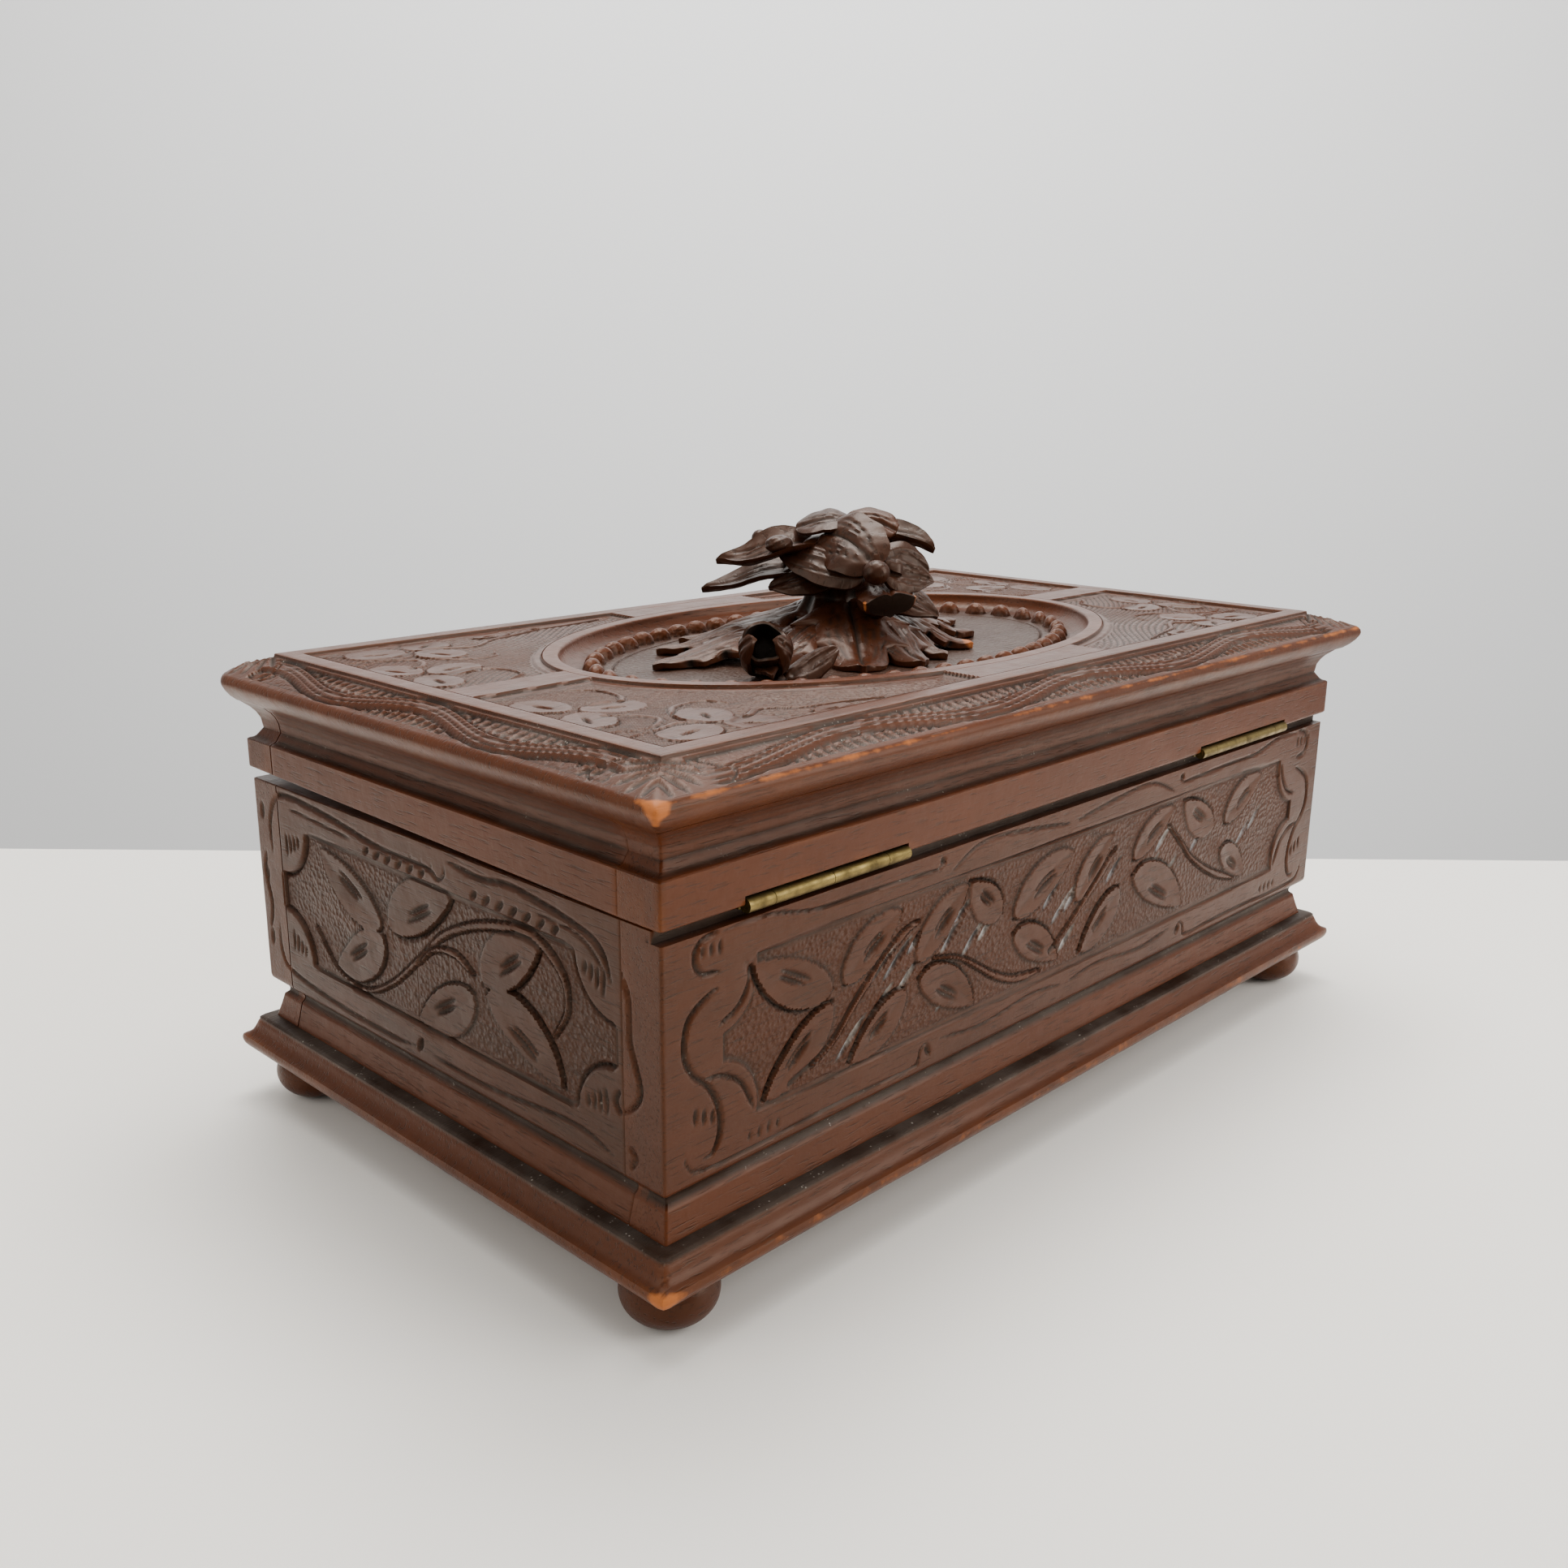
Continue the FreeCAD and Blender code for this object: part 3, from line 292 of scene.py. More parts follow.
# ------------------------------------------------------------------ carving
class Relief:
    """The carving of one face. across and up place each corner on it, in millimetres, and
    level is how far the carved surface stands above it, which is never more than 0."""

    def __init__(self, across, up):
        self.shape = across.shape
        self.across = across.ravel().astype(float)
        self.up = up.ravel().astype(float)
        self.level = np.zeros(self.across.size)
        self.cuts = np.zeros(self.across.size)
        self.ground = np.zeros(self.across.size)
        self.leaf_mask = np.zeros(self.across.size, bool)
        self.shine = np.zeros(self.across.size)
        self.leaves = []
        self.line_width = in_mm(carving().line_width)
        self.line_depth = in_mm(carving().line_depth)
        self.leaf_depth = in_mm(carving().leaf_depth)
        self.ground_depth = in_mm(carving().ground_depth)

    def along(self, path, reach):
        """The corners near a path, how far along it each one is, from 0 to 1, and how far to
        its left."""
        low, high = path.min(0) - reach, path.max(0) + reach
        near = np.flatnonzero((self.across > low[0]) & (self.across < high[0])
                              & (self.up > low[1]) & (self.up < high[1]))
        spots = np.column_stack((self.across[near], self.up[near]))
        best = np.full(len(near), 1e9)
        share = np.zeros(len(near))
        steps = np.diff(path, axis=0)
        lengths = np.hypot(*steps.T)
        done = 0.0
        for start, step, length in zip(path[:-1], steps, lengths):
            offset = spots - start
            t = np.clip(offset @ step / max(length, 1e-9) ** 2, 0, 1)
            gap = offset - t[:, None] * step
            distance = np.hypot(gap[:, 0], gap[:, 1])
            nearer = distance < np.abs(best)
            side = np.where(step[0] * offset[:, 1] - step[1] * offset[:, 0] < 0, -1, 1)
            best[nearer] = (distance * side)[nearer]
            share[nearer] = (done + t[nearer] * length) / lengths.sum()
            done += length
        keep = np.abs(best) < reach
        return near[keep], share[keep], best[keep]

    def line(self, points, width=1.0, depth=1.0, taper=0.12):
        """A line cut with a V tool, which thins towards its ends."""
        width = width * self.line_width
        near, share, off = self.along(curve(points), width)
        fade = np.clip(np.minimum(share, 1 - share) / taper, 0.05, 1) ** 0.5
        cut = self.line_depth * depth * fade * np.clip(1 - np.abs(off) / (0.5 * width * fade), 0, 1)
        self.cuts[near] = np.maximum(self.cuts[near], cut)

    def gouge(self, start, end, width=1.3, depth=0.55, spare=False):
        """One push of a gouge: a narrow hollow that is deepest at its middle. spare stops it at
        the leaves."""
        near, share, off = self.along(np.array([start, end], float), width)
        swell = np.sin(np.pi * np.clip(share, 0.001, 0.999)) ** 0.7
        cut = depth * swell * np.clip(1 - (off / (0.5 * width * (0.35 + 0.65 * swell))) ** 2, 0, 1)
        if spare:
            cut = cut * ~self.leaf_mask[near]
            # The shine layer marks the chips, which get a thicker varnish coat and a painted pale
            # glint.
            self.shine[near] = np.maximum(self.shine[near], np.clip(cut / depth * 1.5, 0, 1))
        self.cuts[near] = np.maximum(self.cuts[near], cut)

    def chips(self, places, slope=40.0, width=1.9, depth=1.0):
        """Long slanting chips cut side by side through the ground, each placed by where it
        starts and how long it is."""
        heading = np.array([math.cos(math.radians(slope)), math.sin(math.radians(slope))])
        for u, v, size in places:
            start = np.array((u, v), float)
            self.gouge(start, start + heading * size, width, depth, spare=True)

    def hatch(self, start, end, count, lean, length, width=1.3, depth=0.5):
        """A row of slanting gouge cuts between two points. lean is degrees from the row."""
        start, end = np.array(start, float), np.array(end, float)
        heading = math.atan2(*(end - start)[::-1]) + math.radians(lean)
        half = np.array([math.cos(heading), math.sin(heading)]) * length / 2
        for share in np.linspace(0, 1, count):
            middle = start + (end - start) * share
            size = 0.75 + 0.25 * math.sin(math.pi * share) + 0.08 * math.sin(share * 40)
            self.gouge(middle - half * size, middle + half * size, width, depth)

    def sink(self, inside, soft=0.5):
        """Lowers the ground where inside, millimetres from the field's edge, is positive."""
        share = blend_in(inside, 0, soft)
        self.level = np.minimum(self.level, -self.ground_depth * share)
        self.ground = np.maximum(self.ground, blend_in(inside, 0.6, 1.6))

    def leaf(self, base, tip, width, bend=0.08, lean=0.0, veins=2, rounded=False):
        """A leaf from its base to its tip, pointed or rounded. lean puts the deeper cut on its
        left, or on its right if it is negative."""
        base, tip = np.array(base, float), np.array(tip, float)
        along = tip - base
        middle = (base + tip) / 2 + np.array([-along[1], along[0]]) * bend
        t = np.linspace(0, 1, 18)[:, None]
        centre = (1 - t) ** 2 * base + 2 * t * (1 - t) * middle + t**2 * tip
        near, share, off = self.along(centre, width / 2 + 4)
        share = np.clip(share, 1e-4, 1 - 1e-4)
        half = width / 2 * share**0.6 * (1 - share) ** 0.78 / 0.391 + 0.02
        if rounded:
            half = width * np.sqrt(share**1.1 * (1 - share) ** 0.9)
        self.leaves.append((near, share, off, half, lean))
        for index in range(veins):
            side = (index - (veins - 1) / 2) * width * 0.13
            shift = np.array([-along[1], along[0]]) / np.linalg.norm(along) * side
            begin = base + along * (0.30 + 0.05 * index) + shift
            self.gouge(begin, begin + along * (0.40 - 0.06 * index), 1.6, 0.85)

    def stem(self, points, width=1.7):
        """A rounded stem with a cut along each side."""
        near, share, off = self.along(curve(points), width + 1.6)
        thin = 0.5 * width * np.clip(np.minimum(share + 0.25, (1 - share) * 5 + 0.25), 0, 1)
        beyond = np.abs(off) - thin
        inside = (beyond < 0) & ~self.leaf_mask[near]
        trench = -self.leaf_depth * 0.72 * np.exp(-np.clip(beyond, 0, None) ** 2 / 0.7)
        outside = near[~inside]
        self.level[outside] = np.minimum(self.level[outside], trench[~inside])
        self.level[near[inside]] = -0.08 - 0.22 * (off[inside] / np.maximum(thin[inside], 0.1)) ** 2
        self.ground[near[beyond < 0.5]] = 0

    def carve_leaves(self):
        """Cuts the ground away round all the leaves, then shapes the leaves."""
        for near, share, off, half, lean in self.leaves:
            beyond = np.clip(np.abs(off) - half, 0, None)
            deep = self.leaf_depth * np.clip(0.62 + 0.5 * lean * np.sign(off), 0.2, 1.3)
            trench = -deep * np.exp(-((beyond / 1.5) ** 1.4))
            self.level[near] = np.minimum(self.level[near], trench)
        for near, share, off, half, lean in self.leaves:
            inside = np.abs(off) < half
            part = off[inside] / half[inside]
            crown = -0.10 - 0.34 * (1 - np.abs(part)) ** 1.5 * np.sin(np.pi * share[inside]) ** 0.5
            crown -= 0.26 * np.clip(-part * lean, 0, 1)
            self.level[near[inside]] = np.maximum(crown, -self.leaf_depth)
            self.leaf_mask[near[inside]] = True
            self.ground[near[inside]] = 0

    def surface(self):
        """The finished level of every corner, with the unevenness of hand work."""
        uneven = 0.05 * wobble(self.across, self.up, 9.0)
        uneven = uneven + 0.022 * wobble(self.across, self.up, 2.1, 3.0)
        level = np.minimum(self.level + uneven * (self.level < -0.05) + np.minimum(uneven, 0), 0)
        return (level - self.cuts).reshape(self.shape)


def long_panel(across, up, keyhole=False):
    """The carved panel of the front and the back: leaves on a winding stem in a long field,
    with a scroll at each end. across runs the length of the box."""
    length = 2 * HALF_LENGTH
    face = Relief(across, up)
    field_low, field_high, field_side, field_end = 9.3, 44.0, 15.5, 24.3
    lobe_in, lobe_radius = 14.5, 10.5
    boss_half, boss_foot = 11.0, 24.5
    edge = np.minimum(np.minimum(face.up - field_low, field_high - face.up),
                      np.minimum(face.across - field_side, length - field_side - face.across))
    for place in (face.across, length - face.across):
        for height in (field_low + 2.5, field_high - 2.5):
            lobe = np.hypot(place - lobe_in, (face.up - height) * 0.9) - lobe_radius
            edge = np.minimum(edge, lobe)
    if keyhole:
        boss = np.maximum(np.abs(face.across - length / 2) - boss_half, boss_foot - face.up)
        edge = np.minimum(edge, boss)
    face.sink(edge)

    leaves = [
        ((47.5, 29.5), (24.5, 41.0), 10.5, 0.09, 0.8), ((51, 29.5), (69.5, 41.2), 9.5, 0.10, -0.5),
        ((47.5, 26), (27.5, 11.0), 9.5, 0.10, -0.8), ((75.5, 27.5), (93.2, 41.4), 9.0, 0.10, -0.6),
        ((71.5, 22), (53.5, 10.4), 9.0, 0.10, -0.7), ((76.5, 23), (96.5, 11.0), 10.0, 0.12, 0.6),
        ((106.8, 31), (94.4, 41.4), 9.5, 0.12, -1.0), ((112, 28.5), (136, 39.8), 10.5, 0.10, -0.4),
        ((112, 24), (131, 12.8), 9.0, 0.08, 0.6), ((138.5, 26), (153.5, 40.5), 8.5, 0.10, -0.5),
        ((158.8, 24.6), (141.5, 11.5), 9.5, 0.10, -0.8),
        ((165.5, 26), (191.6, 11.6), 11.5, 0.13, 0.5),
        ((165, 31), (184, 41.6), 8.0, 0.10, -0.6), ((207, 31), (190, 41.6), 9.8, 0.10, -1.0),
        ((213.5, 31), (233.5, 41.8), 9.0, 0.10, -0.4), ((212.6, 23), (227, 12.2), 8.5, 0.08, 0.5),
    ]
    if keyhole:
        leaves = [leaf for leaf in leaves if abs(leaf[1][0] - length / 2) > 14 or leaf[1][1] < 22]
        leaves = [leaf for leaf in leaves if abs(leaf[0][0] - length / 2) > 12]
    for base, tip, width, bend, lean in leaves:
        face.leaf(base, tip, width, bend, lean)
    face.carve_leaves()
    for path in (
        [(35, 12), (47, 16.6), (58, 26.6), (69.7, 35), (76, 37)],
        [(81.6, 26.6), (91.6, 23.7), (105.2, 15.5), (114, 12.2), (124, 11.4)],
        [(128, 15.5), (136, 20.5), (146, 28), (156, 36)],
        [(182.5, 36.6), (190, 30), (197, 23.7), (209, 17), (222, 12.2)],
    ):
        if not (keyhole and path[0][0] == 128):
            face.stem(path)

    chips = (
        (49, 12, 13), (53, 10.5, 12), (57, 16, 14), (61, 12, 10), (60, 27, 11), (64, 26, 13),
        (69, 22, 10), (72, 30, 9), (83, 13, 11), (84, 27, 10), (87, 31, 11), (92, 24, 13),
        (98, 26, 9), (118, 16, 11), (124, 27, 9), (128, 22, 13), (133, 24, 12), (139, 28, 10),
        (132, 14, 9), (147, 14, 8), (152, 27, 10), (172, 24, 9), (176, 30, 10), (180, 20, 11),
        (195, 26, 9), (199, 31, 8), (222, 22, 10), (228, 25, 10),
    )
    face.chips([chip for chip in chips
                if not (keyhole and abs(chip[0] + 4 - length / 2) < 20 and chip[1] > 14)])
    for height, bow, depth in ((field_high, 0.3, 1.2), (field_low, -0.3, 1.1)):
        path = [(field_end, height), (length / 2, height + bow), (length - field_end, height)]
        face.line(path, 1.1, depth)
    for mirror in (False, True):
        turn = (lambda u: length - u) if mirror else (lambda u: u)

        def stroke(points, width=1.0, depth=1.0):
            face.line([(turn(u), v) for u, v in points], width, depth)

        stroke([(14.8, 51.3), (9.8, 50), (8.4, 46.5), (10.2, 43.6), (14.8, 43)], 1.7, 1.3)
        stroke([(15, 39.8), (11.5, 38.6), (6.6, 35), (5.5, 28.5), (7.6, 23.6), (11.4, 20),
                (14.2, 15), (14.8, 9.4), (12.8, 5.2), (9.6, 4.6)], 1.7, 1.5)
        stroke([(5.0, 8), (6.0, 4.6), (9.6, 2.4), (24, 2.0), (50, 2.5), (73.5, 2.1), (76.4, 3.4),
                (77, 5.6), (79.3, 6.5), (81.4, 3.8)], 1.1, 1.0)
        stroke([(10.5, 21.6), (16, 20.6), (20.8, 17.2), (24.2, 10.6)], 1.4, 1.3)
        stroke([(14.6, 31.6), (19.6, 34), (22.8, 38.3), (24.3, 42.6)], 1.4, 1.3)
        stroke([(15, 51), (28, 51), (42, 48.6), (60, 48.4), (78, 47.9), (82, 48), (84, 49.6),
                (83.8, 51.2)], 1.2, 1.0)
        stroke([(86, 46), (98, 50.6), (114, 50), (134, 47.6)], 1.2, 0.9)
        stroke([(84, 6.2), (100, 4.6), (120, 6.2), (134, 5)], 1.2, 0.8)
        for index in range(4):
            u = turn(8.0 + 2.3 * index)
            face.gouge((u, 47 - index * 0.3), (u + 0.2, 49.6), 1.2, 0.4)
            face.gouge((u, 12.5 - index * 0.7), (u + 0.3, 16.5 - index * 0.9), 1.3, 0.45)
        face.hatch((turn(23), 4.9), (turn(31), 4.9), 4, 80, 3.0, 1.1, 0.35)
        face.gouge((turn(80.5), 3.4), (turn(79), 6.0), 1.8, 0.9)
        face.gouge((turn(83.6), 48.4), (turn(82.6), 50.4), 1.9, 0.9)
    return face


def end_panel(across, up):
    """The carved panel of the two ends: two three-leaved sprigs on an S-shaped stem, in a field
    with lobed corners. across runs from the front corner to the back one."""
    face = Relief(across, up)
    low, high, left, right, lobe_radius = 9.9, 44.6, 11.6, 142.4, 12.6
    edge = np.minimum(np.minimum(face.up - low, high - face.up),
                      np.minimum(face.across - left, right - face.across))
    lobes = [(left, low), (left, high), (right, low), (right, high)]
    for u, v in lobes:
        edge = np.minimum(edge, np.hypot(face.across - u, face.up - v) - lobe_radius)
    face.sink(edge)
    for base, tip, width, bend, lean in (
        ((57.2, 29.6), (31.3, 42.2), 11.5, 0.10, 0.3),
        ((60.6, 30.4), (86.6, 43.4), 12.5, 0.12, -1.0),
        ((57.6, 27), (35.6, 13.2), 11.5, 0.12, 0.4),
        ((97.2, 27.5), (118.2, 41.4), 12.0, 0.10, -1.0),
        ((93.8, 23.4), (71.6, 10.9), 11.5, 0.10, -0.3),
        ((98.6, 24.6), (124.4, 12.2), 12.0, 0.16, 1.0),
    ):
        face.leaf(base, tip, width, bend, lean)
    face.carve_leaves()
    face.stem([(26, 21), (35.4, 12.6), (48, 10.8), (60.3, 16.1), (73.8, 26.5), (84.2, 34.8),
               (99.8, 41), (115.4, 43), (124.9, 37.9), (126.8, 30.6), (122.1, 22.8)], 1.8)
    face.stem([(73, 25), (79, 29.6), (87.3, 30.8), (94.1, 28)], 1.4)
    for u, v in lobes:
        inward = 1 if u == left else -1
        upward = 1 if v == low else -1
        around = lobe_radius + 0.3
        arc = [(u + inward * around * math.sin(a), v + upward * around * math.cos(a))
               for a in np.linspace(0.02, math.pi / 2 - 0.02, 8)]
        face.line(arc, 1.5, 1.4, 0.04)
        for index in range(4):
            place = u + inward * (3.2 + 1.9 * index)
            tall = 6.5 - 1.1 * index
            end = (place + 0.4 * inward, v + upward * (1.5 + tall))
            face.gouge((place, v + upward * 1.5), end, 1.3, 0.5)
    face.line([(left + 13, high), (75, high + 0.2), (right - 13, high)], 1.2, 1.3, 0.03)
    face.line([(left + 13, low), (75, low - 0.2), (right - 13, low)], 1.2, 1.3, 0.03)
    for u in (left, right):
        face.line([(u, low + 13), (u, high - 13)], 1.2, 1.2, 0.05)
    for path, width, depth in (
        ([(7.4, 36), (7.2, 44), (10.5, 50.6), (17, 52.6), (37.5, 51.4), (58.3, 48.9), (78, 48.6),
          (82.2, 47.0), (85.0, 48.6), (85.2, 51.8)], 1.8, 1.3),
        ([(17, 49.6), (38, 48.6), (47, 48.2)], 1.0, 0.7),
        ([(86.3, 52.2), (98, 51.2), (110.2, 52.2), (130.9, 49.4), (138.4, 46.4), (141.6, 40)],
         1.8, 1.3),
        ([(118, 48.6), (132, 47.4), (139.6, 42)], 1.0, 0.7),
        ([(7.6, 18), (8.2, 9), (13.6, 5.2), (35, 3.0), (60, 2.6), (70, 3.6)], 1.5, 1.0),
        ([(76, 3.4), (98, 3.2), (127.8, 5.8), (141.3, 3.4)], 1.5, 1.0),
        ([(144.2, 44), (146.4, 38.4), (146.6, 30), (149.4, 21), (147.4, 16.4), (143.4, 13.8)],
         1.7, 1.4),
        ([(143.2, 18.6), (141.9, 15.8), (143.6, 13.2)], 1.7, 1.2),
        ([(145.6, 7.4), (147.6, 5.6), (146.2, 2.6)], 1.8, 1.2),
        ([(4.0, 36), (2.6, 30), (4.6, 22), (3.2, 15)], 1.6, 1.1),
    ):
        face.line(path, width, depth)
    face.hatch((53, 46.9), (76, 46.9), 6, 42, 3.6, 1.8, 0.8)
    face.hatch((96, 46.9), (124, 46.7), 7, 42, 3.6, 1.8, 0.8)
    face.gouge((70.6, 2.6), (72.8, 6.4), 2.2, 1.0)
    face.hatch((72, 49.6), (80, 49.4), 3, 70, 1.6, 1.0, 0.35)
    for v in (44, 27, 10):
        face.gouge((3.4, v), (3.6, v + 5), 2.0, 0.6)
    return face


# ------------------------------------------------------------------ boards and rails
def face_steps(length, step, extra=(), margin=0.6):
    """Places along a face, about a step apart, closer at its ends and at the extra places."""
    count = max(2, int(round((length - 2 * margin) / step)))
    places = list(np.linspace(margin, length - margin, count + 1))
    places += [0.25 * margin, length - 0.25 * margin]
    for place in extra:
        places = [p for p in places if abs(p - place) > 0.2] + [place - 0.03, place + 0.03]
    return np.array(sorted(places))


class Board:
    """A board or rail: an upright slab whose outside and ends are finely divided.
    along runs the length of the outside, and out is measured from the inside."""

    def __init__(self, name, length, thick, levels, step, fine_ends, notches=()):
        self.name = name
        self.length = length
        self.thick = thick
        self.levels = np.asarray(levels, float)
        face = face_steps(length, step, notches)
        depth = face_steps(thick, step if fine_ends else 2.0)[1:]
        round_off = in_mm(carving().arris)
        corner = [(round_off * (1 - math.cos(a)), round_off * math.sin(a))
                  for a in np.linspace(0, math.pi / 2, 4)]
        start = [(0.0, out) for out in (0.0, *depth[depth < thick - round_off])]
        start += [(inset, thick - round_off + rise) for inset, rise in corner]
        face = face[(face > round_off) & (face < length - round_off)]
        plan = start + [(u, thick) for u in face]
        plan += [(length - u, out) for u, out in reversed(start)]
        plan.append(plan[0])
        self.plan = np.array(plan)
        self.part = np.array([-1] * len(start) + [0] * len(face) + [1] * len(start) + [-1])

    def places(self, face_profile, end_profile, face_relief=None, end_relief=None):
        """Rows of places: along, out and height. The profiles give how far the outside and the
        ends stand past the plan at a height, and the reliefs what is carved there."""
        rows, columns = len(self.levels), len(self.plan)
        height = np.repeat(self.levels[:, None], columns, 1)
        along = np.repeat(self.plan[None, :, 0], rows, 0)
        out = np.repeat(self.plan[None, :, 1], rows, 0)
        deep = blend_in(out, 0.2, self.thick)
        face_off = face_profile(height)
        end_off = end_profile(height)
        self.ground = np.zeros_like(height)
        self.shine = np.zeros_like(height)
        middle = self.part == 0
        if face_relief is not None:
            face = face_relief(along[:, middle], height[:, middle])
            face_off[:, middle] += face.surface()
            self.ground[:, middle] = face.ground.reshape(face.shape)
            self.shine[:, middle] = face.shine.reshape(face.shape)
        if end_relief is not None:
            for side in (-1, 1):
                end = self.part == side
                face = end_relief(out[:, end], height[:, end])
                end_off[:, end] += face.surface()
                self.ground[:, end] = face.ground.reshape(face.shape)
        out = out + face_off * np.where(middle, 1.0, deep ** 6)
        near = np.clip(1.04 - np.minimum(along, self.length - along) / 8, 0, 1)
        reach = np.where(along < self.length / 2, -1.0, 1.0) * np.where(middle, near, 1.0)
        along = along + end_off * reach
        return np.stack((along, out, height), axis=2)


def board_profile(height):
    """The outside of a carcass board, past its face: a plain sloping strip, a notch under the
    carved panel, then the panel."""
    foot = ((0.0, -0.5), (1.0, -0.75), (3.4, -1.5), (6.2, -2.2), (6.9, -3.1), (8.0, -3.35),
            (9.2, -2.5), (10.2, -0.9))
    points = [*((BASE_TOP + rise, past) for rise, past in foot),
              (PANEL_FOOT + 0.4, -0.18), (PANEL_FOOT + 1.2, 0.0)]
    return np.interp(height, *zip(*points))


def rail_profile(height):
    """The outside of a lid rail, past the carcass's face: a flat band, then a cove."""
    cove = [(BAND_TOP + 1.2 + 6.3 * (1 - math.cos(a)) * 0.5 + 1.4,
             PROUD - 3.1 + 0.2 * math.sin(a)) for a in (0.0, 0.6)]
    points = [(LID_BOTTOM, PROUD - 0.35), (LID_BOTTOM + 0.35, PROUD), (BAND_TOP - 0.35, PROUD),
              (BAND_TOP, PROUD - 0.4), (BAND_TOP + 0.3, PROUD - 1.5), (BAND_TOP + 1.6, PROUD - 2.4),
              *cove, (BAND_TOP + 5.0, PROUD - 2.75), (BAND_TOP + 6.6, PROUD - 2.0),
              (BAND_TOP + 7.9, PROUD - 1.0), (BAND_TOP + 8.8, PROUD + 0.1), (RAIL_TOP, PROUD + 0.9)]
    points.sort()
    return np.interp(height, *zip(*points))


def levels_between(low, high, step):
    """Heights from low to high, about a step apart."""
    return np.linspace(low, high, max(2, int(round((high - low) / step)) + 1))


def board_levels(top, step, rebate=False):
    """The heights at which a carcass board is divided."""
    strip = levels_between(BASE_TOP + 0.02, PANEL_FOOT - 0.6, 0.75)
    if rebate:
        shoulder = top - REBATE_HEIGHT
        panel = levels_between(PANEL_FOOT, shoulder - 0.35, step)
        return [*strip, *panel, shoulder - 0.1, shoulder, shoulder + 0.02, shoulder + 1,
                top - 0.2, top]
    return [*strip, *levels_between(PANEL_FOOT, top - 0.5, step), top - 0.2, top - 0.06, top]


def ease_top(height, top):
    """Rounds the upper arris."""
    return -0.35 * blend_in(height, top - 0.3, top) ** 2


def on_long_side(side, places):
    """Turns a board's own places into the box's: the front (-1) or the back (1)."""
    along, out, height = np.moveaxis(places, 2, 0)
    return np.stack((side * (HALF_LENGTH - along), side * (INSIDE_Y + out), height), axis=2)


def on_end(side, places):
    """Turns a board's own places into the box's: the left end (-1) or the right one (1)."""
    along, out, height = np.moveaxis(places, 2, 0)
    return np.stack((side * (INSIDE_X + out), along - INSIDE_Y, height), axis=2)


def carcass_board(side, material):
    """The front or the back board, whose ends show on the end faces of the box."""
    name = "front_board" if side < 0 else "back_board"
    step = in_mm(carving().mesh_step)
    top = BODY_TOP - SEAT_GAP
    back = side > 0
    slab = Board(name, 2 * HALF_LENGTH, BOARD, board_levels(top, step, back), step, True)

    def outside(height):
        profile = board_profile(height)
        if back:
            return profile - REBATE_DEPTH * (height > top - REBATE_HEIGHT + 0.01)
        return profile + ease_top(height, top)

    def end_relief(out, height):
        across = HALF_WIDTH + side * (INSIDE_Y + out)
        return end_panel(across, height - PANEL_FOOT)

    def face_relief(along, height):
        return long_panel(along, height - PANEL_FOOT, keyhole=not back)

    places = slab.places(outside, lambda height: board_profile(height) + ease_top(height, top),
                         face_relief, end_relief)
    finish_board(slab, on_long_side(side, places), "carcass", "carved_wood", material, name)


def end_board(side, material):
    """An end board, let in between the front and the back."""
    name = "right_end_board" if side > 0 else "left_end_board"
    step = in_mm(carving().mesh_step)
    top = BODY_TOP - SEAT_GAP
    slab = Board(name, 2 * INSIDE_Y, BOARD, board_levels(top, step), step, False)

    def face_relief(along, height):
        return end_panel(HALF_WIDTH - INSIDE_Y + along, height - PANEL_FOOT)

    places = slab.places(lambda height: board_profile(height) + ease_top(height, top),
                         np.zeros_like, face_relief)
    finish_board(slab, on_end(side, places), "carcass", "carved_wood", material, name)


def planed(place):
    """Planes the underside of the lid frame, so that it rises towards the front."""
    low = LID_BOTTOM + SEAT_GAP + (FRONT_RAIL_LOW[2] - LID_BOTTOM) * np.clip(
        (INSIDE_Y - place[..., 1]) / (INSIDE_Y + HALF_WIDTH), 0, 1.1)
    share = np.clip((BAND_TOP - place[..., 2]) / (BAND_TOP - LID_BOTTOM), 0, 1)
    place[..., 2] += (low - LID_BOTTOM) * share
    return place


def rail_levels():
    """The heights at which a lid rail is divided."""
    return [*levels_between(LID_BOTTOM, LID_BOTTOM + 1.84, 0.3), LID_BOTTOM + 1.9,
            *levels_between(LID_BOTTOM + 2.2, BAND_TOP - 0.4, 0.8), BAND_TOP - 0.15, BAND_TOP,
            *levels_between(BAND_TOP + 0.2, RAIL_TOP - 0.03, 0.4)]


def lid_rail(side, material):
    """The front or back rail of the lid, notched for the hinge barrels at the back."""
    name = "lid_rail_front" if side < 0 else "lid_rail_back"
    back = side > 0
    notches = []
    if back:
        for low, high in HINGES:
            notches += [HALF_LENGTH - high[0] - 0.2, HALF_LENGTH - low[0] + 0.2]
    slab = Board(name, 2 * HALF_LENGTH, BOARD, rail_levels(), RAIL_STEP, True, notches)

    def notch(along, height):
        face = Relief(along, height)
        for start, end in zip(notches[::2], notches[1::2]):
            inside = (face.across > start) & (face.across < end)
            face.level[inside & (face.up < LID_BOTTOM + BARREL_NOTCH)] = -NOTCH_DEPTH
        face.level += 0.03 * wobble(face.across, face.up, 12.0, side)
        return face

    place = on_long_side(side, slab.places(rail_profile, rail_profile, notch))
    finish_board(slab, planed(place), "lid", "lid_wood", material, name)


def lid_end_rail(side, material):
    """An end rail of the lid, let in between the front and the back."""
    name = "lid_rail_right" if side > 0 else "lid_rail_left"
    slab = Board(name, 2 * INSIDE_Y, BOARD, rail_levels(), RAIL_STEP, False)
    place = on_end(side, slab.places(rail_profile, np.zeros_like))
    finish_board(slab, planed(place), "lid", "lid_wood", material, name)


